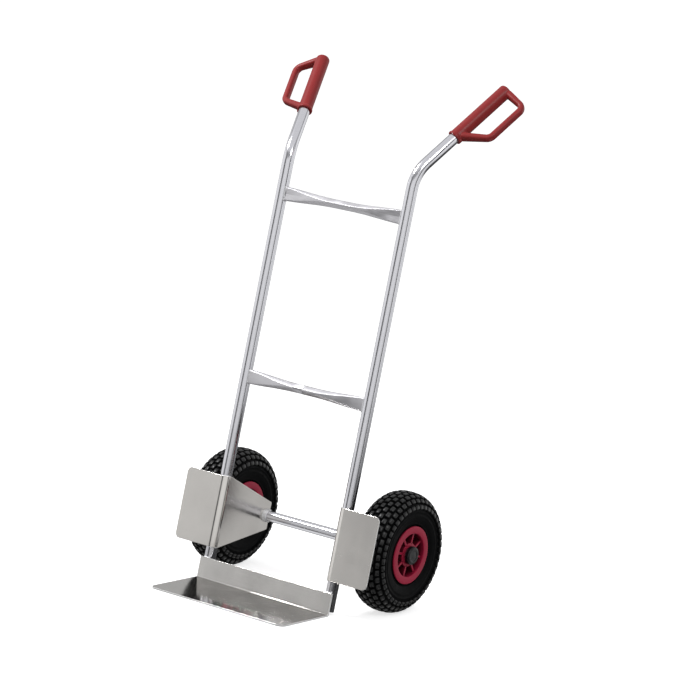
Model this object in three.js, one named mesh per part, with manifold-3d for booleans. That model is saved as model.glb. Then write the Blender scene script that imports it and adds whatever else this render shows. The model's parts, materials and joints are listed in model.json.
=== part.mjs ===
// Hand truck: two bent aluminium tubes with moulded grips, two pressed crossbars, a folded
// toe plate, two folded wheel brackets, and an axle with two pneumatic wheels.
// Millimetres and degrees, +Z up. The toe plate faces -Y, the truck is symmetric about X = 0,
// the floor is Z = 0, and the origin is under the middle of the whole truck.

import * as THREE from 'three';
import { mergeVertices } from 'three/addons/utils/BufferGeometryUtils.js';
import Module from 'manifold-3d';

const wasm = await Module();
wasm.setup();

// ---------------------------------------------------------------- driving dimensions

// Fits
const GAP = 0.3; // between faces that touch
const RUNNING = 0.15; // radial clearance of the rollers to rod and hub

// Side tubes
const TUBE_SPACING = 325.3; // between the two tube axes
const TUBE_OD = 25;
const TUBE_WALL = 2;
const TUBE_FOOT = 6; // from the floor to the tube's open foot, along the tube
const LEAN = 8.16; // of the straight run, backwards from upright
const STRAIGHT_RUN = 934; // from the floor to the corner where the handle turns back
const HANDLE_BEND_RADIUS = 90;
const HANDLE_ELEVATION = 41.9; // of the handle above level
const HANDLE_SPLAY = 22.4; // of the handle outwards from straight back
const BARE_HANDLE = 116; // from the corner to the grip
const TUBE_IN_GRIP = 118;

// Grips with their knuckle guards
const GRIP_LENGTH = 160;
const GRIP_WALL = 2.2;
const GRIP_DOME = 6; // rounding of the closed end
const COLLAR_LENGTH = 5;
const COLLAR_RISE = 1.6; // of the collar above the grip
const LUG_REACH = 19.5; // of the small lug from the grip's axis
const LUG_WIDTH = 6;
const GUARD_REACH = 63.5; // of the guard's rail from the grip's axis
const GUARD_TILT = 24.3; // of the guard downwards from level
const GUARD_LOW_CORNER = 44; // along the grip from its open end
const GUARD_HIGH_CORNER = 144.5;
const GUARD_LOW_ROOT = 15;
const GUARD_HIGH_ROOT = 152.5;
const GUARD_CORNER_RADIUS = 15;
const GUARD_THICKNESS = 13.5;
const GUARD_WIDTH = 17;
const GUARD_SQUARENESS = 2.6; // exponent of the guard's rounded section

// Crossbars, pressed from round tube
const CROSSBAR_HEIGHTS = { lower_crossbar: 443, upper_crossbar: 840 }; // along the tubes
const CROSSBAR_WALL = 2;
const CROSSBAR_END = { height: 31, depth: 11 };
const CROSSBAR_MIDDLE = { height: 19, depth: 28 };
const CROSSBAR_FLAT = 86; // length of the middle press mark
const CROSSBAR_SQUARENESS = 3.2; // exponent of the rounded section

// Toe plate
const TOE_OVERHANG = 0.35; // past the outer side of each tube
const TOE_DEPTH = 159; // in front of the fold
const TOE_THICKNESS = 4;
const TOE_UPSTAND = 46; // along the tubes from the floor
const TOE_FOLD_RADIUS = 7; // to the middle of the sheet
const TOE_CORNER = 15; // cut off each front corner

// Wheel brackets
const BRACKET_SHEET = 2.5;
const BRACKET_ABOVE_AXLE = 76;
const BRACKET_TO_TOE = 24; // clear height over the toe plate's upstand
const BRACKET_REACH = 92; // of the flange outwards from the tube's axis
const BRACKET_CORNER = 11;
const GUSSET_SLANT = 9.5; // of the gusset inwards from straight back
const GUSSET_PAST_AXLE = 8.3;
const GUSSET_REAR_ABOVE = 29;
const GUSSET_REAR_BELOW = 31;

// Axle
const AXLE_ROD_R = 10;
const AXLE_TUBE_WALL = 1.2;

// Tyre and inner tube
const WHEEL_R = 130;
const TYRE_WIDTH = 82;
const TYRE_TO_TUBE = 3.85; // side clearance
const TYRE_TO_BRACKET = 6.5; // clearance behind the bracket's flange
const TYRE_CROWN = 6; // thickness under the tread
const TYRE_SIDEWALL = 5;
const TYRE_SQUARENESS = 2.5; // exponent of the rounded section above its widest place
const BEAD_TUCK = 8.8; // how far the round section would pass below the bead seat
const INNER_TUBE_PLAY = 0.6;
const INNER_TUBE_WALL = 1.6;
const VALVE_BORE_R = 1.5;

// Rim, two identical bolted halves
const RIM_SEAT_R = 50.8;
const LIP_R = 62.3;
const LIP_THICKNESS = 4;
const LIP_EDGE = 1.5; // bevel of the lip's outer and inner edges
const LIP_SETBACK = 3.6; // of the lip's face from the tyre's side
const BARREL_WALL = 4.3;
const SPOKE_RECESS = 5.4; // of the spokes' faces from the lip's face
const HUB_RECESS = 3.4; // of the hub's face from the lip's face
const HUB_R = 21;
const HUB_WALL = 7.4;
const MID_DISC = 5; // half of the bolted middle disc
const POCKETS = 8;
const POCKET_INNER_R = 26;
const SPOKE_WIDTH = 5;
const FIRST_SPOKE = 32.5; // angle from the rearward level line, upwards

// Rim bolts and nuts
const BOLT_COUNT = 4;
const BOLT_CIRCLE_R = 36;
const BOLT_R = 3;
const HEX_FLATS = 10;
const BOLT_HEAD = 4;
const NUT_HEIGHT = 5;
const BOLT_END = 1.5; // of thread past the nut

// Valve
const VALVE_POCKET = 5; // counted from the first pocket
const VALVE_TO_DISC = 2.1; // clearance of the valve cap
const VALVE_TO_BEAD = 6.6; // clearance of the stem
const VALVE_R = 4;
const VALVE_THREAD_R = 2.9;
const VALVE_STEM_END = 38; // distance of the stem's shoulder from the wheel's axis
const VALVE_THREAD = 6;
const VALVE_CAP_R = 4.4;
const VALVE_CAP_LENGTH = 8.5;

// Roller bearing, washers and cap on the axle
const ROLLERS = 8;
const CAGE_RING = 4;
const CAGE_RECESS = 5; // of the cage's end from the hub's face
const WASHER_R = 17.5;
const WASHER_THICKNESS = 2;
const CAP_R = 19.5;
const CAP_HEIGHT = 8.8;
const CAP_EDGE = 2.5;
const ROD_IN_CAP = 4.4;

// Facets round a full turn
const TUBE_FACETS = 16;
const ROD_FACETS = 20;
const RIM_FACETS = 24;
const TYRE_FACETS = 36;
const CROSSBAR_FACETS = 20;
const GUARD_FACETS = 12;
const SMALL_FACETS = 12; // bolts, their holes and the valve
const ROLLER_FACETS = 6;

// Steps of a bend, and of the guard's corners
const BEND_STEPS = 6;
const CORNER_STEPS = 4;

const OVERCUT = 1; // how far a cutting shape stands past what it cuts

// ---------------------------------------------------------------- values that follow

const X = new THREE.Vector3(1, 0, 0);
const Y = new THREE.Vector3(0, 1, 0);
const Z = new THREE.Vector3(0, 0, 1);

const rad = THREE.MathUtils.degToRad;
const lean = rad(LEAN);
const tubeX = TUBE_SPACING / 2;
const tubeR = TUBE_OD / 2;
const tubeSkin = tubeR + GAP;
const gripR = tubeSkin + GRIP_WALL;
const toeWidth = TUBE_SPACING + TUBE_OD + 2 * TOE_OVERHANG;

// The axle in the leaning frame of the tubes: behind them, and along them from the floor
const axleBehind = WHEEL_R + TYRE_TO_BRACKET - tubeSkin;
const axleAlong = (WHEEL_R + axleBehind * Math.sin(lean)) / Math.cos(lean);
const axleY = axleBehind * Math.cos(lean) + axleAlong * Math.sin(lean);
const axleTubeR = AXLE_ROD_R + GAP + AXLE_TUBE_WALL;

const wheelX = tubeX + tubeR + TYRE_TO_TUBE + TYRE_WIDTH / 2;
const rimHalfWidth = TYRE_WIDTH / 2 - LIP_SETBACK;
const lipInside = rimHalfWidth - LIP_THICKNESS;
const spokeFace = rimHalfWidth - SPOKE_RECESS;
const hubFace = rimHalfWidth - HUB_RECESS;
const hubBore = HUB_R - HUB_WALL;
const pocketOuterR = RIM_SEAT_R - BARREL_WALL;
const pocketStep = 2 * Math.PI / POCKETS;
const washerInside = hubFace + GAP;
const washerOutside = washerInside + WASHER_THICKNESS;
const capInside = washerOutside + GAP;
const valvePlace = MID_DISC + VALVE_TO_DISC + VALVE_CAP_R;
const beadToe = valvePlace + VALVE_R + VALVE_TO_BEAD;
const rodHalfLength = wheelX + capInside + ROD_IN_CAP;
const axleTubeHalfLength = wheelX - washerOutside - GAP;

// ---------------------------------------------------------------- solids and geometry

// Keeps only positions, merges shared vertices and drops faces that have closed up
function welded(geometry) {
  const bare = geometry.clone();
  bare.deleteAttribute('normal');
  bare.deleteAttribute('uv');
  const merged = mergeVertices(bare, 1e-4);
  const index = [];
  for (let i = 0; i < merged.index.count; i += 3) {
    const [a, b, c] = [0, 1, 2].map((k) => merged.index.getX(i + k));
    if (a !== b && b !== c && c !== a) index.push(a, b, c);
  }
  merged.setIndex(index);
  return merged;
}

function signedVolume(geometry) {
  const { index, attributes: { position } } = geometry;
  const corner = [0, 1, 2].map(() => new THREE.Vector3());
  let volume = 0;
  for (let i = 0; i < index.count; i += 3) {
    corner.forEach((p, k) => p.fromBufferAttribute(position, index.getX(i + k)));
    volume += corner[0].dot(corner[1].cross(corner[2])) / 6;
  }
  return volume;
}

function turnedInsideOut(geometry) {
  const { index } = geometry;
  for (let i = 0; i < index.count; i += 3) {
    const second = index.getX(i + 1);
    index.setX(i + 1, index.getX(i + 2));
    index.setX(i + 2, second);
  }
  return geometry;
}

// A closed geometry with merged vertices and faces that point outwards
function closed(geometry) {
  const merged = welded(geometry);
  return signedVolume(merged) < 0 ? turnedInsideOut(merged) : merged;
}

function solid(geometry) {
  const { index, attributes: { position } } = closed(geometry);
  const vertProperties = new Float32Array(position.array);
  const triVerts = new Uint32Array(index.array);
  return new wasm.Manifold(new wasm.Mesh({ numProp: 3, vertProperties, triVerts }));
}

function geometryOf(manifold) {
  const { vertProperties, triVerts } = manifold.getMesh();
  const geometry = new THREE.BufferGeometry();
  geometry.setAttribute('position', new THREE.BufferAttribute(vertProperties, 3));
  geometry.setIndex(new THREE.BufferAttribute(triVerts, 1));
  geometry.computeVertexNormals();
  return geometry;
}

function mirrored(geometry) {
  const copy = geometry.index ? geometry.clone() : welded(geometry);
  copy.scale(-1, 1, 1);
  turnedInsideOut(copy);
  copy.computeVertexNormals();
  return copy;
}

// A solid of revolution about X; profile points are [radius, x]
function turned(profile, facets) {
  const points = profile.map(([r, x]) => new THREE.Vector2(r, x));
  const geometry = new THREE.LatheGeometry(points, facets);
  geometry.rotateZ(-Math.PI / 2);
  return closed(geometry);
}

function turnedRing(profile, facets) {
  return turned([...profile, profile[0]], facets);
}

function pipeProfile(inner, outer, from, to) {
  return [[inner, from], [outer, from], [outer, to], [inner, to]];
}

function prism(shape, depth, curveSegments = 6) {
  return new THREE.ExtrudeGeometry(shape, { depth, bevelEnabled: false, curveSegments });
}

function polygon(points) {
  return new THREE.Shape(points.map(([x, y]) => new THREE.Vector2(x, y)));
}

// A point of an oval; squareness 2 is an ellipse, more is a rounded rectangle
function ovalPoint(halfWidth, halfHeight, angle, squareness = 2) {
  const bulge = (value) => Math.sign(value) * Math.abs(value) ** (2 / squareness);
  return [halfWidth * bulge(Math.cos(angle)), halfHeight * bulge(Math.sin(angle))];
}

function oval(halfWidth, halfHeight, facets, squareness) {
  return polygon(Array.from({ length: facets }, (_, i) => (
    ovalPoint(halfWidth, halfHeight, 2 * Math.PI * i / facets, squareness)
  )));
}

function circle(radius, facets) {
  return oval(radius, radius, facets);
}

// ---------------------------------------------------------------- paths and sweeps

// Points and tangents along a line of corners, each rounded to its radius
function roundedPath(corners, radii, arcSteps) {
  const heading = (i) => corners[i + 1].clone().sub(corners[i]).normalize();
  const last = corners.length - 1;
  const stations = [{ point: corners[0].clone(), tangent: heading(0) }];
  for (let i = 1; i < last; i += 1) {
    const before = heading(i - 1);
    const after = heading(i);
    const turn = before.angleTo(after);
    const axis = before.clone().cross(after).normalize();
    const radius = radii[i - 1];
    const start = corners[i].clone().addScaledVector(before, -radius * Math.tan(turn / 2));
    const centre = start.clone().addScaledVector(axis.clone().cross(before), radius);
    for (let j = 0; j <= arcSteps; j += 1) {
      const tangent = before.clone().applyAxisAngle(axis, turn * j / arcSteps);
      const point = centre.clone().addScaledVector(axis.clone().cross(tangent), -radius);
      stations.push({ point, tangent });
    }
  }
  stations.push({ point: corners[last].clone(), tangent: heading(last - 1) });
  return stations;
}

// A path in one plane that keeps a swept section square to that plane
class PlanePath extends THREE.Curve {
  constructor(stations, planeNormal) {
    super();
    this.stations = stations;
    this.planeNormal = planeNormal;
  }

  getPointAt(u) {
    return this.stations[Math.round(u * (this.stations.length - 1))].point.clone();
  }

  computeFrenetFrames() {
    const tangents = this.stations.map(({ tangent }) => tangent.clone());
    const binormals = tangents.map(() => this.planeNormal.clone());
    const normals = tangents.map((tangent) => this.planeNormal.clone().cross(tangent));
    return { tangents, normals, binormals };
  }
}

function sweep(shape, stations, planeNormal) {
  const extrudePath = new PlanePath(stations, planeNormal);
  return new THREE.ExtrudeGeometry(shape, { steps: stations.length - 1, extrudePath });
}

// The section of a folded sheet, from the corners [x, y] of its middle line
function foldedSheet(corners, radii, thickness) {
  const line = corners.map(([x, y]) => new THREE.Vector3(x, y, 0));
  const stations = roundedPath(line, radii, BEND_STEPS);
  const side = (offset) => stations.map(({ point, tangent }) => (
    [point.x - tangent.y * offset, point.y + tangent.x * offset]
  ));
  return polygon([...side(thickness / 2), ...side(-thickness / 2).reverse()]);
}

// ---------------------------------------------------------------- pieces on the mast

// Everything here is in the leaning frame: X across, Y behind the tubes, Z along them.

const handleAlong = new THREE.Vector3(
  Math.cos(rad(HANDLE_ELEVATION)) * Math.sin(rad(HANDLE_SPLAY)),
  Math.cos(rad(HANDLE_ELEVATION)) * Math.cos(rad(HANDLE_SPLAY)),
  Math.sin(rad(HANDLE_ELEVATION)),
);
const levelOut = handleAlong.clone().cross(Z).normalize();
const guardOut = levelOut.clone().applyAxisAngle(handleAlong, rad(GUARD_TILT));
[handleAlong, levelOut, guardOut].forEach((direction) => direction.applyAxisAngle(X, lean));

const handleCorner = new THREE.Vector3(tubeX, 0, STRAIGHT_RUN);

function sideTube() {
  const shape = circle(tubeR, TUBE_FACETS);
  shape.holes.push(circle(tubeR - TUBE_WALL, TUBE_FACETS));
  const foot = new THREE.Vector3(tubeX, 0, TUBE_FOOT);
  const end = handleCorner.clone().addScaledVector(handleAlong, BARE_HANDLE + TUBE_IN_GRIP);
  const stations = roundedPath([foot, handleCorner, end], [HANDLE_BEND_RADIUS], BEND_STEPS);
  return closed(sweep(shape, stations, Z.clone().cross(handleAlong).normalize()));
}

// Local axes of a grip: X along it from the open end, Y towards the guard
function grip() {
  const dome = [15, 40, 65, 90].map((angle) => [
    gripR - GRIP_DOME + GRIP_DOME * Math.cos(rad(angle)),
    GRIP_LENGTH - GRIP_DOME + GRIP_DOME * Math.sin(rad(angle)),
  ]);
  const collarR = gripR + COLLAR_RISE;
  const body = turned([
    [0, TUBE_IN_GRIP + GAP],
    [tubeSkin, TUBE_IN_GRIP + GAP],
    [tubeSkin, 0],
    [collarR, 0],
    [collarR, COLLAR_LENGTH],
    [gripR, COLLAR_LENGTH + COLLAR_RISE],
    [gripR, GRIP_LENGTH - GRIP_DOME],
    ...dome,
    [0, GRIP_LENGTH],
  ], ROD_FACETS);

  const rootY = (tubeSkin + gripR) / 2;
  const corners = [
    [GUARD_LOW_ROOT, rootY],
    [GUARD_LOW_CORNER, GUARD_REACH],
    [GUARD_HIGH_CORNER, GUARD_REACH],
    [GUARD_HIGH_ROOT, rootY],
  ].map(([x, y]) => new THREE.Vector3(x, y, 0));
  const radii = [GUARD_CORNER_RADIUS, GUARD_CORNER_RADIUS];
  const section = oval(GUARD_THICKNESS / 2, GUARD_WIDTH / 2, GUARD_FACETS, GUARD_SQUARENESS);
  const guard = sweep(section, roundedPath(corners, radii, CORNER_STEPS), Z);

  const lug = new THREE.BoxGeometry(COLLAR_LENGTH, LUG_REACH - rootY, LUG_WIDTH);
  lug.translate(COLLAR_LENGTH / 2, (LUG_REACH + rootY) / 2, 0);

  const depth = TUBE_IN_GRIP + GAP;
  const bore = turned([[0, -OVERCUT], [tubeSkin, -OVERCUT], [tubeSkin, depth], [0, depth]],
    ROD_FACETS);
  const geometry = geometryOf(solid(body).add(solid(guard)).add(solid(lug)).subtract(solid(bore)));
  const basis = new THREE.Matrix4().makeBasis(
    handleAlong,
    guardOut,
    handleAlong.clone().cross(guardOut),
  );
  basis.setPosition(handleCorner.clone().addScaledVector(handleAlong, BARE_HANDLE));
  return geometry.applyMatrix4(basis);
}

// A round tube pressed upright at both ends and level in the middle, coped to the side tubes
function crossbar(along) {
  const length = 2 * tubeX;
  const shape = circle(1, CROSSBAR_FACETS);
  const holeMark = 0.5;
  shape.holes.push(circle(holeMark, CROSSBAR_FACETS));
  const stations = [-length / 2, -CROSSBAR_FLAT / 2, CROSSBAR_FLAT / 2, length / 2].map((x) => (
    { point: new THREE.Vector3(x, 0, 0), tangent: X }
  ));
  const geometry = sweep(shape, stations, Z);
  const { position } = geometry.attributes;
  for (let i = 0; i < position.count; i += 1) {
    const [x, y, z] = [position.getX(i), position.getY(i), position.getZ(i)];
    const { height, depth } = Math.abs(x) > CROSSBAR_FLAT ? CROSSBAR_END : CROSSBAR_MIDDLE;
    const wall = Math.hypot(y, z) > (1 + holeMark) / 2 ? 0 : CROSSBAR_WALL;
    const angle = Math.atan2(z, y);
    const [v, s] = ovalPoint(depth / 2 - wall, height / 2 - wall, angle, CROSSBAR_SQUARENESS);
    position.setXYZ(i, x, v, along + s);
  }
  const reach = CROSSBAR_END.height;
  const bar = [-tubeX, tubeX].reduce((coped, x) => {
    const cope = prism(circle(tubeSkin, TUBE_FACETS), 2 * reach);
    cope.translate(x, 0, along - reach);
    return coped.subtract(solid(cope));
  }, solid(geometry));
  return geometryOf(bar);
}

// The plate lies on the floor and its upstand leans with the tubes, so it is drawn outside the
// leaning frame
function toePlate() {
  const middle = tubeSkin + TOE_THICKNESS / 2;
  const floorLine = TOE_THICKNESS / 2;
  const foldY = floorLine * Math.tan(lean) - middle / Math.cos(lean);
  const frontY = foldY - middle + tubeSkin - TOE_DEPTH;
  const top = [
    TOE_UPSTAND * Math.sin(lean) - middle * Math.cos(lean),
    TOE_UPSTAND * Math.cos(lean) + middle * Math.sin(lean),
  ];
  const corners = [[frontY, floorLine], [foldY, floorLine], top];
  const sheet = prism(foldedSheet(corners, [TOE_FOLD_RADIUS], TOE_THICKNESS), toeWidth);
  sheet.applyMatrix4(new THREE.Matrix4().makeBasis(Y, Z, X));
  sheet.translate(-toeWidth / 2, 0, 0);

  const outline = cutCornered(toeWidth / 2, frontY, 0, TOE_CORNER);
  const plan = prism(outline, 2 * TOE_UPSTAND);
  plan.translate(0, 0, -TOE_THICKNESS);
  return geometryOf(solid(sheet).intersect(solid(plan)));
}

// A rectangle from front to back with both front corners rounded off
function cutCornered(halfWidth, front, back, radius) {
  const shape = new THREE.Shape();
  shape.moveTo(-halfWidth - OVERCUT, back);
  shape.lineTo(-halfWidth - OVERCUT, front + radius);
  shape.lineTo(-halfWidth, front + radius);
  shape.quadraticCurveTo(-halfWidth, front, -halfWidth + radius, front);
  shape.lineTo(halfWidth - radius, front);
  shape.quadraticCurveTo(halfWidth, front, halfWidth, front + radius);
  shape.lineTo(halfWidth + OVERCUT, front + radius);
  shape.lineTo(halfWidth + OVERCUT, back);
  shape.closePath();
  return shape;
}

// One folded sheet: a flange in front of the tyre, a bend round the tube's front, and a gusset
// back to the axle with an open notch for the axle tube
function wheelBracket() {
  const middle = tubeSkin + BRACKET_SHEET / 2;
  const slant = rad(GUSSET_SLANT);
  const low = TOE_UPSTAND + BRACKET_TO_TOE;
  const high = axleAlong + BRACKET_ABOVE_AXLE;
  const rear = axleBehind + GUSSET_PAST_AXLE;

  // the two straight stretches meet in front of the tube, inwards of its axis
  const innerX = -middle * (1 - Math.sin(slant)) / Math.cos(slant);
  const rearX = innerX - (rear + middle) * Math.tan(slant);
  const corners = [[BRACKET_REACH, -middle], [innerX, -middle], [rearX, rear]];
  const sheet = prism(foldedSheet(corners, [middle], BRACKET_SHEET), high - low);
  sheet.translate(tubeX, 0, low);

  // seen from the side: full height at the tube, tapering to the rear edge
  const front = -2 * middle;
  const side = polygon([
    [front, low - OVERCUT],
    [0, low - OVERCUT],
    [0, low],
    [rear, axleAlong - GUSSET_REAR_BELOW],
    [rear, axleAlong + GUSSET_REAR_ABOVE],
    [0, high],
    [0, high + OVERCUT],
    [front, high + OVERCUT],
  ]);
  const sidePrism = prism(side, 2 * tubeX);
  sidePrism.applyMatrix4(new THREE.Matrix4().makeBasis(Y, Z, X));

  // seen from the front: the flange's outer corners are rounded
  const outerX = tubeX + BRACKET_REACH;
  const face = new THREE.Shape();
  face.moveTo(0, low - OVERCUT);
  face.lineTo(outerX - BRACKET_CORNER, low - OVERCUT);
  face.lineTo(outerX - BRACKET_CORNER, low);
  face.quadraticCurveTo(outerX, low, outerX, low + BRACKET_CORNER);
  face.lineTo(outerX, high - BRACKET_CORNER);
  face.quadraticCurveTo(outerX, high, outerX - BRACKET_CORNER, high);
  face.lineTo(outerX - BRACKET_CORNER, high + OVERCUT);
  face.lineTo(0, high + OVERCUT);
  face.closePath();
  const facePrism = prism(face, rear - front + 2 * middle);
  facePrism.applyMatrix4(new THREE.Matrix4().makeBasis(X, Z, Y.clone().negate()));
  facePrism.translate(0, rear + middle, 0);

  const notchR = axleTubeR + GAP;
  const notchEnd = rear + GUSSET_PAST_AXLE;
  const notch = new THREE.Shape();
  notch.absarc(axleBehind, axleAlong, notchR, Math.PI / 2, 3 * Math.PI / 2, false);
  notch.lineTo(notchEnd, axleAlong - notchR);
  notch.lineTo(notchEnd, axleAlong + notchR);
  notch.closePath();
  const notchPrism = prism(notch, 2 * tubeX, 8);
  notchPrism.applyMatrix4(new THREE.Matrix4().makeBasis(Y, Z, X));

  return geometryOf(
    solid(sheet).intersect(solid(sidePrism)).intersect(solid(facePrism)).subtract(solid(notchPrism)),
  );
}

// ---------------------------------------------------------------- pieces round the axle

// Everything here is along X from the wheel's middle plane, with +X outwards.

function hexagon(across) {
  return circle(across / Math.sqrt(3), 6);
}

// An extruded shape set along X from the given place
function alongX(shape, from, to, curveSegments) {
  const geometry = prism(shape, to - from, curveSegments);
  geometry.applyMatrix4(new THREE.Matrix4().makeBasis(Y, Z, X));
  geometry.translate(from, 0, 0);
  return geometry;
}

// Angles count from the rearward level line upwards, seen in the Y-Z plane
function atAngle(geometry, radius, angle) {
  return geometry.translate(0, radius * Math.cos(angle), radius * Math.sin(angle));
}

const pocketAngle = (i) => rad(FIRST_SPOKE) + (i + 0.5) * pocketStep;
const boltAngle = (i) => pocketAngle(i * POCKETS / BOLT_COUNT);

// Half an oval over a flatter, squarer crown, from one side round to the other
function tyreSection(middleR, height, width, lowestR, count) {
  const limit = Math.acos((lowestR - middleR) / height);
  return Array.from({ length: count + 1 }, (_, i) => {
    const angle = limit * (2 * i / count - 1);
    const up = Math.cos(angle);
    const out = Math.sin(angle);
    if (up <= 0) {
      return [middleR + height * up, width * out];
    }
    const power = 2 / TYRE_SQUARENESS;
    return [middleR + height * up ** power, width * Math.sign(out) * Math.abs(out) ** power];
  });
}

function tyre() {
  const middleR = (WHEEL_R + RIM_SEAT_R - BEAD_TUCK) / 2;
  const rise = WHEEL_R - middleR;
  const half = TYRE_WIDTH / 2;
  const section = (height, width, lowestR, count) => (
    tyreSection(middleR, height, width, lowestR, count)
  );
  const beadFace = lipInside - GAP;
  const beadSeat = RIM_SEAT_R + GAP;
  const overLip = LIP_R + 2 * GAP;
  const outer = section(rise, half, overLip, 10);
  const lining = section(rise - TYRE_CROWN, half - TYRE_SIDEWALL, beadSeat + BEAD_TUCK, 6);
  return turnedRing([
    [beadSeat, -beadFace],
    [overLip, -beadFace],
    ...outer,
    [overLip, beadFace],
    [beadSeat, beadFace],
    [beadSeat, beadToe],
    ...lining.reverse(),
    [beadSeat, -beadToe],
  ], TYRE_FACETS);
}

// A thin closed tube of air, open only at its valve
function innerTube() {
  const middleR = (WHEEL_R + RIM_SEAT_R - BEAD_TUCK) / 2;
  const height = WHEEL_R - middleR - TYRE_CROWN - INNER_TUBE_PLAY;
  const width = TYRE_WIDTH / 2 - TYRE_SIDEWALL - INNER_TUBE_PLAY;
  const lowestR = RIM_SEAT_R + BEAD_TUCK + 2 * GAP;
  const footR = (RIM_SEAT_R + 4 * GAP) / Math.cos(Math.PI / RIM_FACETS);
  const foot = beadToe - 3 * GAP;
  const count = 6;
  const ring = (inset) => {
    const lowest = middleR - (middleR - lowestR) * (height - inset) / height;
    const section = tyreSection(middleR, height - inset, width - inset, lowest, count);
    const corner = foot - inset;
    const profile = [[footR + inset, -corner], ...section, [footR + inset, corner]];
    return solid(turnedRing(profile, RIM_FACETS));
  };
  const bore = valvePiece([[0, RIM_SEAT_R], [VALVE_BORE_R, RIM_SEAT_R],
    [VALVE_BORE_R, footR + 2 * INNER_TUBE_WALL], [0, footR + 2 * INNER_TUBE_WALL]]);
  return geometryOf(ring(0).subtract(ring(INNER_TUBE_WALL)).subtract(solid(bore)));
}

// One moulded half, with deep pockets between its spokes; both halves are the same
function rimHalf() {
  const mating = GAP / 2;
  const body = turnedRing([
    [hubBore, mating],
    [RIM_SEAT_R, mating],
    [RIM_SEAT_R, lipInside],
    [LIP_R, lipInside],
    [LIP_R, rimHalfWidth - LIP_EDGE],
    [LIP_R - LIP_EDGE, rimHalfWidth],
    [pocketOuterR + LIP_EDGE, rimHalfWidth],
    [pocketOuterR, spokeFace],
    [HUB_R, spokeFace],
    [HUB_R, hubFace],
    [hubBore, hubFace],
  ], RIM_FACETS);

  const pockets = Array.from({ length: POCKETS }, (_, i) => (
    solid(alongX(pocketShape(pocketAngle(i)), MID_DISC, rimHalfWidth + OVERCUT, 3))
  ));
  const holes = Array.from({ length: BOLT_COUNT }, (_, i) => {
    const hole = alongX(circle(BOLT_R + GAP, SMALL_FACETS), -OVERCUT, MID_DISC + OVERCUT);
    return solid(atAngle(hole, BOLT_CIRCLE_R, boltAngle(i)));
  });
  return [...pockets, ...holes].reduce((rim, cut) => rim.subtract(cut), solid(body));
}

// A wedge between two spokes, whose sides keep half a spoke's width off the spokes' middles
function pocketShape(angle) {
  const halfSpoke = SPOKE_WIDTH / 2;
  const turnAt = (radius) => pocketStep / 2 - Math.asin(halfSpoke / radius);
  const shape = new THREE.Shape();
  const inner = turnAt(POCKET_INNER_R);
  const outerR = pocketOuterR - GAP;
  const outer = turnAt(outerR);
  shape.absarc(0, 0, outerR, angle - outer, angle + outer, false);
  shape.absarc(0, 0, POCKET_INNER_R, angle + inner, angle - inner, true);
  shape.closePath();
  return shape;
}

// The outer half also has the valve's hole through its barrel
function valveHole() {
  const radial = valvePiece([[0, pocketOuterR - 2], [VALVE_R + GAP, pocketOuterR - 2],
    [VALVE_R + GAP, LIP_R], [0, LIP_R]]);
  return solid(radial);
}

// A turned piece that stands radially in the valve's pocket; profile points are [radius, distance
// from the wheel's axis]
function valvePiece(profile) {
  const geometry = turned(profile, SMALL_FACETS);
  const angle = pocketAngle(VALVE_POCKET);
  const outwards = new THREE.Vector3(0, Math.cos(angle), Math.sin(angle));
  const sideways = new THREE.Vector3().crossVectors(outwards, X);
  const basis = new THREE.Matrix4().makeBasis(outwards, X, sideways.negate());
  return closed(geometry.applyMatrix4(basis.setPosition(valvePlace, 0, 0)));
}

function valveStem() {
  const top = RIM_SEAT_R + 2 * GAP;
  const tip = VALVE_STEM_END - VALVE_THREAD;
  return valvePiece([[0, tip], [VALVE_THREAD_R, tip], [VALVE_THREAD_R, VALVE_STEM_END],
    [VALVE_R, VALVE_STEM_END], [VALVE_R, top], [0, top]]);
}

function valveCap() {
  const mouth = VALVE_STEM_END - GAP;
  const bore = VALVE_THREAD_R + GAP;
  const seat = VALVE_STEM_END - VALVE_THREAD - GAP;
  const end = mouth - VALVE_CAP_LENGTH;
  return valvePiece([[0, end], [VALVE_CAP_R, end], [VALVE_CAP_R, mouth], [bore, mouth],
    [bore, seat], [0, seat]]);
}

function rimBolt(angle) {
  const underHead = MID_DISC + GAP;
  const end = -(MID_DISC + GAP + NUT_HEIGHT + BOLT_END);
  const shank = alongX(circle(BOLT_R, SMALL_FACETS), end, underHead + BOLT_HEAD / 2);
  const head = alongX(hexagon(HEX_FLATS), underHead, underHead + BOLT_HEAD);
  return atAngle(geometryOf(solid(shank).add(solid(head))), BOLT_CIRCLE_R, angle);
}

function rimNut(angle) {
  const shape = hexagon(HEX_FLATS);
  shape.holes.push(circle(BOLT_R + GAP, SMALL_FACETS));
  const under = -(MID_DISC + GAP);
  return atAngle(closed(alongX(shape, under - NUT_HEIGHT, under)), BOLT_CIRCLE_R, angle);
}

// Rollers joined by a ring at each end, free to turn between the rod and the hub
function rollerCage() {
  const inner = AXLE_ROD_R + RUNNING;
  const outer = hubBore * Math.cos(Math.PI / RIM_FACETS) - RUNNING;
  const rollerR = (outer - inner) / 2;
  const pitch = (outer + inner) / 2;
  const ringInner = inner / Math.cos(Math.PI / ROD_FACETS);
  const ring = (from, to) => solid(turnedRing(pipeProfile(ringInner, outer, from, to), ROD_FACETS));
  const end = hubFace - CAGE_RECESS;
  const rollers = Array.from({ length: ROLLERS }, (_, i) => {
    const stop = end - CAGE_RING / 2;
    const roller = alongX(circle(rollerR, ROLLER_FACETS), -stop, stop);
    return solid(atAngle(roller, pitch, 2 * Math.PI * i / ROLLERS));
  });
  const rings = [ring(-end, -end + CAGE_RING), ring(end - CAGE_RING, end)];
  return geometryOf([...rings, ...rollers].reduce((cage, piece) => cage.add(piece)));
}

function washer(from) {
  const bore = AXLE_ROD_R + GAP;
  return turnedRing(pipeProfile(bore, WASHER_R, from, from + WASHER_THICKNESS), ROD_FACETS);
}

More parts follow.
